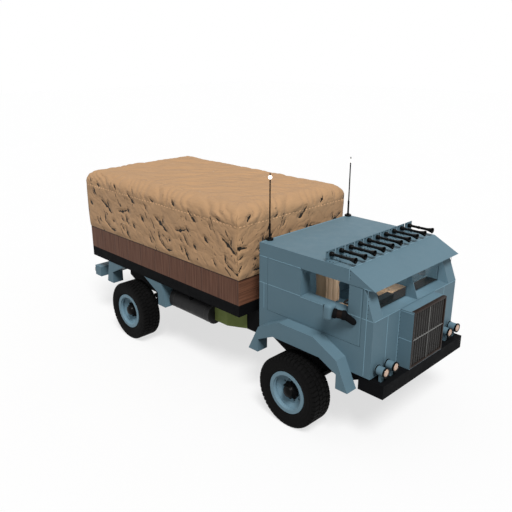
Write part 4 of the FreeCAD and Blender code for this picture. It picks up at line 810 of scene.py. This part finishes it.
def build_canopy(sizes, finishes):
    low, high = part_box("canopy")
    opening_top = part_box("bed_boards")[1].z + OPENING_HEIGHT
    half = (high - low) / 2
    inset = sizes.cloth_thickness
    bm = block(low, high)
    bottom = [face for face in bm.faces if face.normal.z < -0.5]
    bmesh.ops.delete(bm, geom=bottom, context="FACES_ONLY")
    crown = [edge for edge in bm.edges if all(v.co.z > high.z - inset for v in edge.verts)]
    soften(bm, crown, ROUND_EDGE, 7)
    cut_rear_opening(bm, high, opening_top)
    cut_grid(bm, low, high, sizes.cloth_grid)
    bm.normal_update()
    seam = high.z - SEAM_DROP
    middle = (low + high) / 2
    moves = {}
    for vert in bm.verts:
        local = Vector((vert.co.x, vert.co.y - middle.y, vert.co.z))
        offset = fold_offset(local, half, seam, sizes)
        held = min(1.0, 0.35 + (vert.co.z - low.z) / 0.12)
        moves[vert] = vert.normal * offset * held
    for vert, move in moves.items():
        vert.co += move
    bmesh.ops.smooth_vert(bm, verts=bm.verts, factor=0.3, use_axis_x=True, use_axis_y=True,
                          use_axis_z=True)
    canopy = make_piece("canvas_canopy", bm, [finishes.canvas], "chassis", sharp=80)
    wall = canopy.modifiers.new("cloth thickness", "SOLIDIFY")
    wall.thickness = sizes.cloth_thickness
    wall.offset = -1
    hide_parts("canopy")
    return canopy


def cut_rear_opening(bm, high, opening_top):
    """Cuts the way in out of the canopy's rear wall."""
    for side in (-1, 1):
        bmesh.ops.bisect_plane(bm, geom=everything(bm), dist=1e-6,
                               plane_co=(side * OPENING_HALF, 0, 0), plane_no=(1, 0, 0))
    bmesh.ops.bisect_plane(bm, geom=everything(bm), dist=1e-6, plane_co=(0, 0, opening_top),
                           plane_no=(0, 0, 1))
    gone = []
    for face in bm.faces:
        centre = face.calc_center_median()
        rear = face.normal.y > 0.9 and centre.y > high.y - 0.01
        if rear and abs(centre.x) < OPENING_HALF and centre.z < opening_top:
            gone.append(face)
    bmesh.ops.delete(bm, geom=gone, context="FACES")


def cut_grid(bm, low, high, step):
    """Slices a shape along all three axes into small squares."""
    for axis in range(3):
        count = int((high[axis] - low[axis]) / step)
        normal = [0, 0, 0]
        normal[axis] = 1
        for number in range(1, count):
            place = [0, 0, 0]
            place[axis] = low[axis] + (high[axis] - low[axis]) * number / count
            bmesh.ops.bisect_plane(bm, geom=everything(bm), dist=1e-5, plane_co=place,
                                   plane_no=normal)


# Tyres


def tread_blocks(bm, sizes, centre, width, radius):
    """Rows of slanting blocks: two columns in the middle and one on each shoulder."""
    floor = radius - sizes.tread_depth
    pitch = math.tau / sizes.tread_rows
    span = pitch * radius * TREAD_SHARE
    half = width / 2
    foot = floor - 0.004
    columns = (((0.004, foot), (0.004, radius), (0.060, radius), (0.060, foot)),
               ((0.070, foot), (0.070, radius), (half - 0.020, radius - 0.001),
                (half - 0.004, radius - 0.028), (half - 0.003, radius - 0.052),
                (half - 0.020, radius - 0.054)))
    template = bmesh.new()
    for side in (-1, 1):
        for number, column in enumerate(columns):
            lag = (0.25 + 0.5 * number) * pitch * side
            part = outline([(side * x, -span / 2, r) for x, r in column], (0, span, 0))
            edges = [edge for edge in part.edges if all(v.co.z > floor for v in edge.verts)]
            soften(part, edges, 0.0025, 1)
            for vert in part.verts:
                vert.co.y += (abs(vert.co.x) - 0.08) * TREAD_SLANT * side
                reach = max(1, math.hypot(vert.co.y, vert.co.z) / radius)
                vert.co.y, vert.co.z = vert.co.y / reach, vert.co.z / reach
            join(template, part, 0, Matrix.Rotation(lag, 4, "X"))
    for row in range(sizes.tread_rows):
        part = template.copy()
        join(bm, part, 0, Matrix.Translation(centre) @ Matrix.Rotation(pitch * row, 4, "X"))
    template.free()


def build_tyre(wheel, sizes, finishes):
    low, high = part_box(f"tyre_{wheel}")
    centre = (low + high) / 2
    width, radius = high.x - low.x, (high.z - low.z) / 2
    half, floor = width / 2, radius - sizes.tread_depth
    bead = half - BEAD_INSET
    wall = [(bead, RIM_SEAT + 0.0005), (bead, RIM_SEAT + 0.034), (bead + 0.008, RIM_SEAT + 0.040),
            (half - 0.010, RIM_SEAT + 0.060), (half - 0.003, RIM_SEAT + 0.092),
            (half - 0.0025, RIM_SEAT + 0.096), (half - 0.005, RIM_SEAT + 0.100),
            (half, RIM_SEAT + 0.122), (half - 0.001, RIM_SEAT + 0.150),
            (half - 0.005, RIM_SEAT + 0.153), (half - 0.003, RIM_SEAT + 0.158),
            (half - 0.005, radius - 0.048), (half - 0.014, radius - 0.026),
            (half - 0.030, floor)]
    profile = wall + [(-x, r) for x, r in reversed(wall)] + [wall[0]]
    bm = bmesh.new()
    join(bm, lathe(profile, sizes.tread_rows * 3), 0, Matrix.Translation(centre))
    tread_blocks(bm, sizes, centre, width, radius)
    tyre = make_piece(f"tread_{wheel}", bm, [finishes.rubber], f"wheel_{wheel}", 30)
    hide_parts(f"tyre_{wheel}")


# Hubs with their nuts and caps


def build_hub(wheel, side, sizes, finishes):
    low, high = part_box(f"tyre_{wheel}")
    place = Matrix.Translation((low + high) / 2) @ Matrix.Diagonal((side, 1, 1, 1))
    bm = bmesh.new()
    for profile, steps, finish in ((HUB_PROFILE, 48, 0), (CAP_PROFILE, 48, 1),
                                   (STEP_PROFILE, 96, 2), (DRUM_PROFILE, 48, 0)):
        join(bm, lathe(profile, steps), finish, place)
    for number in range(sizes.nut_count):
        turn = Matrix.Rotation(math.tau * number / sizes.nut_count, 4, "X")
        nut = rod((0.0425, 0, NUT_CIRCLE), (HUB_FACE + 0.018, 0, NUT_CIRCLE), 0.0150, 0.0135, 8)
        stud = rod((HUB_FACE, 0, NUT_CIRCLE), (HUB_FACE + 0.026, 0, NUT_CIRCLE), 0.006, sides=8)
        join(bm, nut, 0, place @ turn)
        join(bm, stud, 1, place @ turn)
    if side < 0:
        bmesh.ops.recalc_face_normals(bm, faces=bm.faces)
    make_piece(f"hub_{wheel}", bm, [finishes.black, finishes.gloss, finishes.rim],
               f"wheel_{wheel}")


# Lamps


def build_headlamps(finishes):
    lens_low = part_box("headlamp_lenses")[0]
    ahead = Matrix.Rotation(math.radians(-90), 4, "Z")
    rings, lenses = bmesh.new(), bmesh.new()
    depth = LAMP_BACK - lens_low.y
    for side in (-1, 1):
        for x in LAMP_PLACES:
            place = Matrix.Translation((side * x, LAMP_BACK, LAMP_HEIGHT)) @ ahead
            join(rings, ring(LAMP_RING, depth, 0, LAMP_STEPS), 0, place)
            join(rings, lathe(LAMP_BASE, LAMP_STEPS), 0, place)
            join(lenses, ring(LAMP_LENS, depth, 0, LAMP_STEPS), 0, place)
            for number in range(-4, 5):
                offset = number * LENS_RIB_PITCH
                reach = math.sqrt(LENS_RIB_REACH ** 2 - offset ** 2)
                rib = rod((depth + 0.0075, offset, -reach), (depth + 0.0075, offset, reach),
                          0.0028, sides=8)
                join(lenses, rib, 0, place)
    make_piece("headlamp_rings", rings, [finishes.gloss], "chassis")
    lens = make_piece("headlamp_glass", lenses, [finishes.lens], "chassis")
    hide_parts("headlamp_lenses")


def build_tail_lamps(finishes):
    low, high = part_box("tail_lamps")
    bm = bmesh.new()
    for side in (-1, 1):
        inner, outer = side * TAIL_LAMP_INNER, side * TAIL_LAMP_OUTER
        start, end = min(inner, outer), max(inner, outer)
        join(bm, block((start, low.y, low.z), (end, high.y - 0.006, high.z), 0.006), 1)
        join(bm, block((start + 0.006, low.y, low.z + 0.006), (end - 0.006, high.y, high.z - 0.006),
                       0.005), 0)
        for number in range(1, 9):
            x = start + (end - start) * number / 9
            rib = rod((x, high.y, low.z + 0.010), (x, high.y, high.z - 0.010), 0.002, sides=6)
            join(bm, rib, 0)
    lamps = make_piece("tail_lamp_glass", bm, [finishes.amber, finishes.black], "chassis")
    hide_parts("tail_lamps")


# Horns, antennas and mirrors


def build_horns(finishes):
    low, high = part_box("air_horns")
    axis_z = high.z - HORN_BELL
    ahead = Matrix.Rotation(math.radians(-90), 4, "Z")
    horns, bolts = bmesh.new(), bmesh.new()
    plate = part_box("horn_rail")
    first = low.x + HORN_BELL
    pitch = (high.x - low.x - HORN_BELL * 2) / (HORN_COUNT - 1)
    for number in range(HORN_COUNT):
        x = first + pitch * number
        place = Matrix.Translation((x, high.y, axis_z)) @ ahead
        join(horns, lathe(HORN_PROFILE, 24), 0, place)
        for side in (-1, 1):
            for y, z, out in ((high.y, plate[0].z + 0.030, (0, -0.005, 0)),
                              (high.y, plate[1].z - 0.016, (0, -0.005, 0)),
                              (high.y - 0.045, plate[0].z + 0.006, (0, 0, 0.005)),
                              (high.y - 0.095, plate[0].z + 0.006, (0, 0, 0.005))):
                spot = Vector((x + side * HORN_BOLTS, y, z))
                join(bolts, rod(spot, spot + Vector(out), 0.007, 0.005, 8), 0)
    piece = make_piece("horn_trumpets", horns, [finishes.gloss], "chassis", 40)
    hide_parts("air_horns")
    make_piece("horn_bolts", bolts, [finishes.black], "chassis")


def build_antennas(finishes):
    low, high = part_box("antennas")
    roof = low.z
    bm = bmesh.new()
    up = Matrix.Rotation(math.radians(-90), 4, "Y")
    for x in (low.x + ANTENNA_BASE, high.x - ANTENNA_BASE):
        foot = Matrix.Translation((x, (low.y + high.y) / 2, roof)) @ up
        join(bm, lathe(ANTENNA_PROFILE, 20), 0, foot)
        for number in range(4):
            turn = math.tau * (number + 0.5) / 4
            spot = Vector((x + ANTENNA_BOLT_CIRCLE * math.cos(turn),
                           (low.y + high.y) / 2 + ANTENNA_BOLT_CIRCLE * math.sin(turn),
                           roof + 0.021))
            join(bm, rod(spot, spot + Vector((0, 0, 0.006)), 0.004, sides=6), 0)
        tip = Vector((x, (low.y + high.y) / 2, high.z - 0.062))
        # The tip ball takes the painted glow: it shines though it is no lamp
        join(bm, ball(tip, 0.026), 1)
    piece = make_piece("whip_antennas", bm, [finishes.gloss, finishes.glow], "chassis",
                       40)
    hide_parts("antennas")


def build_mirror(name, side, finishes):
    low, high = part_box(f"mirror_{name}")
    bm = bmesh.new()
    outer = high.x if side > 0 else -low.x
    door = low.x if side > 0 else -high.x

    def at(x, y, z):
        return Vector((side * x, y, z))

    size = Vector(MIRROR_HALF)
    centre = at(outer - size.x, high.y - size.y, high.z - size.z)
    head = slab(centre, size, 0.044, 6)
    for vert in head.verts:
        if vert.co.z < centre.z:
            vert.co.y += (centre.z - vert.co.z) * MIRROR_LEAN
    join(bm, head, 0)
    back = centre + Vector((0, size.y - 0.004, 0))
    join(bm, slab(back, Vector((0.055, 0.0065, 0.084)), 0.006), 1)
    glass = back + Vector((0, 0.004, 0))
    join(bm, slab(glass, Vector((0.049, 0.0045, 0.078)), 0.003), 2)
    foot, bend = at(door + 0.008, -2.607, 1.658), at(door + 0.090, -2.525, 1.745)
    neck = at(outer - 0.078, -2.432, 1.757)
    join(bm, rod(foot, bend, MIRROR_ARM, MIRROR_ARM + 0.003, 24), 3)
    join(bm, ball(foot, MIRROR_ARM), 3)
    join(bm, rod(bend, neck, MIRROR_NECK, sides=28), 4)
    for point in (bend, neck):
        run = (neck - bend).normalized() * 0.026
        lump = rod(point - run, point + run, MIRROR_HUMP, sides=32)
        soften(lump, lump.edges[:], 0.014, 4)
        join(bm, lump, 3)
    join(bm, ball(bend, 0.050), 3)
    looks = [finishes.paint, finishes.black, finishes.mirror, finishes.black, finishes.soot]
    piece = make_piece(f"door_mirror_{name}", bm, looks, f"door_{name}", 40)
    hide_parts(f"mirror_{name}")


# The grille


def build_grille(finishes):
    low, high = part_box("grille")
    box_low, box_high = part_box("grille_box")
    bm = bmesh.new()
    join(bm, block((low.x, high.y - 0.006, low.z), (high.x, high.y, high.z), 0.001, 1), 0)
    front, wide = box_low.y - 0.003, GRILLE_BORDER
    for side in (-1, 1):
        start, end = side * (box_high.x - 0.001), side * (box_high.x - wide)
        join(bm, block((min(start, end), front, low.z), (max(start, end), high.y, high.z + 0.004),
                       0.005, 3), 0)
    for bottom in (low.z - 0.004, high.z + 0.008 - wide):
        join(bm, block((low.x + 0.002, front + 0.001, bottom),
                       (high.x - 0.002, high.y, bottom + wide), 0.005, 3), 0)
    inner = box_high.x - wide
    pitch = inner * 2 / GRILLE_RIBS
    for number in range(GRILLE_RIBS):
        x = pitch * (number + 0.5) - inner
        join(bm, block((x - pitch * 0.30, low.y + 0.002, low.z + 0.010),
                       (x + pitch * 0.30, high.y - 0.004, high.z - 0.010), 0.004, 2), 1)
        join(bm, block((x - pitch * 0.07, low.y - 0.001, low.z + 0.020),
                       (x + pitch * 0.07, low.y + 0.004, high.z - 0.020), 0.001, 1), 1)
    middle = (low.z + high.z) / 2
    join(bm, block((wide - box_high.x, front + 0.002, middle - 0.0035),
                   (box_high.x - wide, high.y - 0.004, middle + 0.0035), 0.0015, 2), 2)
    join(bm, block((-0.0035, front + 0.003, low.z + 0.02),
                   (0.0035, high.y - 0.004, high.z - 0.02), 0.0015, 2), 2)
    piece = make_piece("grille_detail", bm, [finishes.grille, finishes.slat, finishes.trim],
                       "chassis")
    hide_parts("grille")


# Panel seams with rivets


def seam(bm, start, end, out, sizes, rivets=0):
    """A raised bead between two points, with a row of rivets beside it in that finish, if any."""
    start, end, out = Vector(start), Vector(end), Vector(out).normalized()
    run = end - start
    across = run.normalized().cross(out)
    half = sizes.seam_width / 2
    corners = [start + across * half, start + across * half * 0.4 + out * 0.002,
               start - across * half * 0.4 + out * 0.002, start - across * half]
    # The bead takes finish 2, the lighter bead paint: a painted highlight along the seam
    join(bm, outline(corners, run), 2)
    if rivets is None:
        return
    count = max(2, round(run.length / sizes.rivet_pitch))
    for number in range(count):
        spot = start + run * (number + 0.5) / count + across * sizes.seam_width * 2
        join(bm, rod(spot, spot + out * 0.0025, sizes.rivet_radius, sizes.rivet_radius * 0.6, 8),
             rivets)


def build_cab_seams(sizes, finishes):
    low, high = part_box("cab_shell")
    roof_low, roof_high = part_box("cab_roof")
    door_low, door_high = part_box("door_left")
    fender_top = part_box("fenders")[1].z
    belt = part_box("windscreen")[0].z
    grille_low, grille_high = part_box("grille_box")
    bm = bmesh.new()

    def level(x, start, end, z, rivets=0):
        seam(bm, (x, start, z), (x, end, z), (x, 0, 0), sizes, rivets)

    def upright(x, y, start, end, rivets, out=None):
        seam(bm, (x, y, start), (x, y, end), out or (x, 0, 0), sizes, rivets)

    def across(inset, y, z, out):
        seam(bm, (low.x + inset, y, z), (high.x - inset, y, z), out, sizes)

    front, rear, up = (0, -1, 0), (0, 1, 0), (0, 0, 1)
    for side in (-1, 1):
        x = side * high.x
        for z, start in ((belt, low.y), (roof_low.z, low.y + 0.06)):
            level(x, start, door_low.y - DOOR_EDGE, z)
            level(x, door_high.y + DOOR_EDGE, high.y, z)
        upright(x, low.y + CORNER_SEAM, belt, roof_low.z, 1)
        upright(x, low.y + CORNER_SEAM, low.z + 0.02, belt, None)
        upright(x, high.y - REAR_SEAM, fender_top + 0.02, belt, None)
        upright(x, roof_low.y + ROOF_SEAM, roof_low.z + 0.045, roof_high.z, 1)
        upright(side * (grille_high.x + 0.02), low.y, grille_low.z + 0.03, belt, 1, front)
        upright(side * GRILLE_SEAM, low.y, low.z + 0.03, belt, None, front)
        for z in ((grille_low.z + grille_high.z) / 2, grille_high.z - 0.02):
            level(side * grille_high.x, grille_low.y + 0.01, grille_high.y - 0.005, z, None)
    for start, end in ((low.x + 0.02, -grille_high.x - 0.03),
                       (grille_high.x + 0.03, high.x - 0.02)):
        seam(bm, (start, low.y, belt - 0.006), (end, low.y, belt - 0.006), front, sizes)
    across(0.02, high.y, belt, rear)
    across(0.02, high.y, roof_low.z, rear)
    across(0.03, high.y - 0.02, roof_high.z, up)
    across(0.03, low.y + ROOF_REAR_SEAM, roof_high.z, up)
    make_piece("cab_seams", bm, [finishes.paint, finishes.black, finishes.edge], "chassis")


def build_door_seams(name, side, sizes, finishes):
    low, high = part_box(f"door_{name}")
    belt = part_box("windscreen")[0].z
    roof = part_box("cab_roof")[0].z
    x = high.x if side > 0 else low.x
    rear = high.y - 0.012
    bm = bmesh.new()
    for start, end, z in ((low.y + 0.012, low.y + 0.185, belt), (low.y + 0.945, rear, belt),
                          (low.y + 0.190, low.y + 0.940, belt - 0.010),
                          (low.y + 0.945, rear, roof)):
        seam(bm, (x, start, z), (x, end, z), (side, 0, 0), sizes)
    make_piece(f"door_seams_{name}", bm, [finishes.paint, finishes.black, finishes.edge],
               f"door_{name}")


# Seats filled by a cloth simulation


def cushion_mesh(name, low, high):
    """A rounded block, blown up a little by a short cloth simulation."""
    low, high = Vector(low), Vector(high)
    shrunk = Vector((0.006, 0.006, 0.006))
    bm = block(low + shrunk, high - shrunk, 0.03, 3)
    mesh = bpy.data.meshes.new(name)
    bm.to_mesh(mesh)
    bm.free()
    piece = bpy.data.objects.new(name, mesh)
    scene = bpy.context.scene
    scene.collection.objects.link(piece)
    remesh = piece.modifiers.new("even faces", "REMESH")
    remesh.mode = "VOXEL"
    remesh.voxel_size = CUSHION_VOXEL
    apply_modifiers(piece)
    rest = [vert.co.copy() for vert in piece.data.vertices]
    cloth = piece.modifiers.new("filling", "CLOTH")
    cloth.settings.quality = 5
    cloth.settings.mass = 0.3
    cloth.settings.tension_stiffness = 15
    cloth.settings.compression_stiffness = 15
    cloth.settings.bending_stiffness = 2
    cloth.settings.use_pressure = True
    cloth.settings.uniform_pressure_force = 4
    cloth.settings.effector_weights.gravity = 0
    cloth.point_cache.frame_end = CUSHION_FRAMES
    for number in range(1, CUSHION_FRAMES + 1):
        scene.frame_set(number)
    apply_modifiers(piece)
    scene.frame_set(1)
    for vert, old in zip(piece.data.vertices, rest):
        move = vert.co - old
        if move.length > CUSHION_REACH:
            vert.co = old + move.normalized() * CUSHION_REACH
    mesh = piece.data
    bpy.data.objects.remove(piece)
    return mesh


def apply_modifiers(piece):
    """Replaces the mesh by its evaluated self and drops the modifiers."""
    shown = piece.evaluated_get(bpy.context.evaluated_depsgraph_get())
    mesh = bpy.data.meshes.new_from_object(shown)
    piece.modifiers.clear()
    old = piece.data
    piece.data = mesh
    bpy.data.meshes.remove(old)


def build_seats(finishes):
    low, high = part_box("seats")
    inner, outer = SEAT_INNER, high.x
    parts = (("cushion", (inner, low.y, low.z), (outer, low.y + 0.42, low.z + 0.13), "Z"),
             ("back", (inner, high.y - 0.13, low.z + 0.11), (outer, high.y, high.z), "Y"))
    for part, part_low, part_high, face in parts:
        mesh = cushion_mesh(part, part_low, part_high)
        for name, side in SIDES:
            bm = bmesh.new()
            bm.from_mesh(mesh)
            crease_folds(bm, part_low, part_high, face)
            if side < 0:
                bmesh.ops.mirror(bm, geom=everything(bm), matrix=Matrix.Identity(4),
                                 merge_dist=0, axis="X")
                gone = [vert for vert in bm.verts if vert.co.x > 0]
                bmesh.ops.delete(bm, geom=gone, context="VERTS")
                bmesh.ops.recalc_face_normals(bm, faces=bm.faces)
            piece = make_piece(f"seat_{part}_{name}", bm, [finishes.seat], "chassis",
                               80)
            if part == "cushion" and side > 0:
                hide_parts("seats")
        bpy.data.meshes.remove(mesh)


def crease_folds(bm, low, high, face):
    """Sinks upright channels into the seat's cover."""
    width = high[0] - low[0]
    for vert in bm.verts:
        share = (vert.co.x - low[0]) / width * SEAT_CHANNELS
        dip = math.exp(-((share - round(share)) / 0.11) ** 2)
        inside = min(1, max(0, min(vert.co.x - low[0], high[0] - vert.co.x) / 0.04))
        depth = 0.008 * dip * inside
        if face == "Z" and vert.co.z > (low[2] + high[2]) / 2:
            vert.co.z -= depth
        if face == "Y" and vert.co.y < (low[1] + high[1]) / 2:
            vert.co.y += depth


# Small fittings


def build_tank_fittings(finishes):
    low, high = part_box("fuel_tanks")
    radius = (high.z - low.z) / 2
    bm = bmesh.new()
    along = Matrix.Rotation(math.radians(90), 4, "Z")
    for side in (-1, 1):
        centre = Vector((side * (high.x - radius), low.y, (low.z + high.z) / 2))
        length_y = high.y - low.y
        for profile, finish, places in ((TANK_STRAP, 2, (0.085, length_y - 0.097)),
                                        (TANK_RIM, 1, (-0.006, length_y - 0.006))):
            for y in places:
                join(bm, ring(profile, y, radius, TANK_STEPS), finish,
                     Matrix.Translation(centre) @ along)
        cap = centre + Vector((side * radius * 0.5, length_y * 0.5, radius * 0.86))
        outward = Vector((side * 0.5, 0, 0.86)).normalized()
        join(bm, rod(cap - outward * 0.012, cap + outward * 0.010, 0.040, sides=28), 0)
        join(bm, rod(cap + outward * 0.010, cap + outward * 0.024, 0.034, 0.030, 28), 0)
    make_piece("tank_fittings", bm, [finishes.black, finishes.iron, finishes.slat], "chassis",
               40)


def build_box_fittings(finishes):
    low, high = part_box("stowage_boxes")
    bm = bmesh.new()
    for side in (-1, 1):
        x = side * high.x
        join(bm, block((min(x, x + side * 0.003), low.y + 0.012, high.z - 0.075),
                       (max(x, x + side * 0.003), high.y - 0.012, high.z - 0.069), 0.001, 1), 0)
        for y in (low.y + 0.14, high.y - 0.14):
            join(bm, block((min(x, x + side * 0.010), y - 0.018, high.z - 0.105),
                           (max(x, x + side * 0.010), y + 0.018, high.z - 0.045), 0.003, 2), 1)
    make_piece("box_fittings", bm, [finishes.box, finishes.black], "chassis")


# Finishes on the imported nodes


def dress_nodes(finishes):
    """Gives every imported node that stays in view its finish."""
    plan = {
        finishes.paint: ("cab_shell", "cab_roof", "door_left", "door_right", "fenders",
                         "grille_box", "headlamps", "horn_rail", "rear_beam", "mirror_left",
                         "mirror_right"),
        finishes.rim: [f"rim_{wheel}" for wheel, _ in WHEELS],
        finishes.black: ("chassis_frame", "front_bumper", "bed_frame", "suspension",
                         "battery_boxes", "front_axle", "rear_axle", "knuckle_left",
                         "knuckle_right", "tie_rod", "canopy_bows"),
        finishes.iron: ("engine_block", "drive_line"),
        finishes.grille: ("grille",),
        finishes.gloss: ("air_horns", "antennas"),
        finishes.glass: ("windscreen",),
        finishes.lens: ("headlamp_lenses",),
        finishes.amber: ("tail_lamps",),
        finishes.dash: ("dashboard",),
        finishes.seat: ("seats",),
        finishes.wood: ("bed_boards", "tailgate"),
        finishes.canvas: ("canopy",),
        finishes.tank: ("fuel_tanks",),
        finishes.box: ("stowage_boxes",),
        finishes.rubber: [f"tyre_{wheel}" for wheel, _ in WHEELS],
    }
    for finish, names in plan.items():
        for name in names:
            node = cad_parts[name]
            for slot in node.material_slots:
                slot.material = finish


# Operators, one for each piece or group of like pieces


class TRUCK_OT_finishes(bpy.types.Operator):
    """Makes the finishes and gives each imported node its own"""

    bl_idname = "truck.finishes"
    bl_label = "Finishes"

    def execute(self, context):
        FINISHES.append(Finishes(context.scene.truck_colours))
        dress_nodes(FINISHES[-1])
        return {"FINISHED"}


class TRUCK_OT_stage(bpy.types.Operator):
    """Adds the camera, the soft light and the pale floor"""

    bl_idname = "truck.stage"
    bl_label = "Stage"

    def execute(self, context):
        build_stage(context.scene.truck_stage)
        return {"FINISHED"}


class TRUCK_OT_canopy(bpy.types.Operator):
    """Drapes the canvas canopy over its bows"""

    bl_idname = "truck.canopy"
    bl_label = "Canopy"

    def execute(self, context):
        scene = context.scene
        canopy = build_canopy(scene.truck_sizes, FINISHES[-1])
        return {"FINISHED"}


class TRUCK_OT_tyres(bpy.types.Operator):
    """Moulds the four tyres with their tread blocks"""

    bl_idname = "truck.tyres"
    bl_label = "Tyres"

    def execute(self, context):
        for wheel, _ in WHEELS:
            build_tyre(wheel, context.scene.truck_sizes, FINISHES[-1])
        return {"FINISHED"}


class TRUCK_OT_hubs(bpy.types.Operator):
    """Adds the black hubs with nuts and caps"""

    bl_idname = "truck.hubs"
    bl_label = "Hubs"

    def execute(self, context):
        for wheel, side in WHEELS:
            build_hub(wheel, side, context.scene.truck_sizes, FINISHES[-1])
        return {"FINISHED"}


class TRUCK_OT_lamps(bpy.types.Operator):
    """Adds the rings and glass of the headlamps and tail lamps"""

    bl_idname = "truck.lamps"
    bl_label = "Lamps"

    def execute(self, context):
        build_headlamps(FINISHES[-1])
        build_tail_lamps(FINISHES[-1])
        return {"FINISHED"}


class TRUCK_OT_horns(bpy.types.Operator):
    """Turns the ten air horns and adds the bolts of their plates"""

    bl_idname = "truck.horns"
    bl_label = "Horns"

    def execute(self, context):
        build_horns(FINISHES[-1])
        return {"FINISHED"}


class TRUCK_OT_antennas(bpy.types.Operator):
    """Raises the two whip antennas"""

    bl_idname = "truck.antennas"
    bl_label = "Antennas"

    def execute(self, context):
        build_antennas(FINISHES[-1])
        return {"FINISHED"}


class TRUCK_OT_mirrors(bpy.types.Operator):
    """Hangs a mirror on each door"""

    bl_idname = "truck.mirrors"
    bl_label = "Mirrors"

    def execute(self, context):
        for name, side in SIDES:
            build_mirror(name, side, FINISHES[-1])
        return {"FINISHED"}


class TRUCK_OT_grille(bpy.types.Operator):
    """Fits the grille's frame, ribs and light bars"""

    bl_idname = "truck.grille"
    bl_label = "Grille"

    def execute(self, context):
        build_grille(FINISHES[-1])
        return {"FINISHED"}


class TRUCK_OT_seams(bpy.types.Operator):
    """Adds the beads and rivets of the cab's panels and doors"""

    bl_idname = "truck.seams"
    bl_label = "Panel seams"

    def execute(self, context):
        sizes = context.scene.truck_sizes
        build_cab_seams(sizes, FINISHES[-1])
        for name, side in SIDES:
            build_door_seams(name, side, sizes, FINISHES[-1])
        return {"FINISHED"}


class TRUCK_OT_seats(bpy.types.Operator):
    """Fills the seats by a cloth simulation"""

    bl_idname = "truck.seats"
    bl_label = "Seats"

    def execute(self, context):
        build_seats(FINISHES[-1])
        return {"FINISHED"}


class TRUCK_OT_fittings(bpy.types.Operator):
    """Adds the straps, caps and latches of the tanks and boxes"""

    bl_idname = "truck.fittings"
    bl_label = "Fittings"

    def execute(self, context):
        build_tank_fittings(FINISHES[-1])
        build_box_fittings(FINISHES[-1])
        return {"FINISHED"}


OPERATORS = (TRUCK_OT_finishes, TRUCK_OT_stage, TRUCK_OT_canopy, TRUCK_OT_tyres, TRUCK_OT_hubs,
             TRUCK_OT_lamps, TRUCK_OT_horns, TRUCK_OT_antennas, TRUCK_OT_mirrors,
             TRUCK_OT_grille, TRUCK_OT_seams, TRUCK_OT_seats, TRUCK_OT_fittings)


class TRUCK_PT_looks(bpy.types.Panel):
    """Lists the truck's settings and operators in the sidebar"""

    bl_idname = "TRUCK_PT_looks"
    bl_label = "Cargo truck"
    bl_space_type = "VIEW_3D"
    bl_region_type = "UI"
    bl_category = "Truck"

    def draw(self, context):
        scene = context.scene
        for group in (scene.truck_colours, scene.truck_sizes, scene.truck_stage):
            box = self.layout.box()
            for key in group.__annotations__:
                box.prop(group, key)
        for operator in OPERATORS:
            self.layout.operator(operator.bl_idname)


GROUPS = {"truck_colours": TruckColours, "truck_sizes": TruckSizes, "truck_stage": TruckStage}
FINISHES = []


def register():
    for group in GROUPS.values():
        bpy.utils.register_class(group)
    for key, group in GROUPS.items():
        setattr(bpy.types.Scene, key, PointerProperty(type=group))
    for part in (*OPERATORS, TRUCK_PT_looks):
        bpy.utils.register_class(part)


def unregister():
    for part in (TRUCK_PT_looks, *reversed(OPERATORS)):
        bpy.utils.unregister_class(part)
    for key, group in GROUPS.items():
        delattr(bpy.types.Scene, key)
        bpy.utils.unregister_class(group)


def main():
    register()
    for operator in OPERATORS:
        family, action = operator.bl_idname.split(".")
        getattr(getattr(bpy.ops, family), action)()


if __name__ == "__main__":
    main()
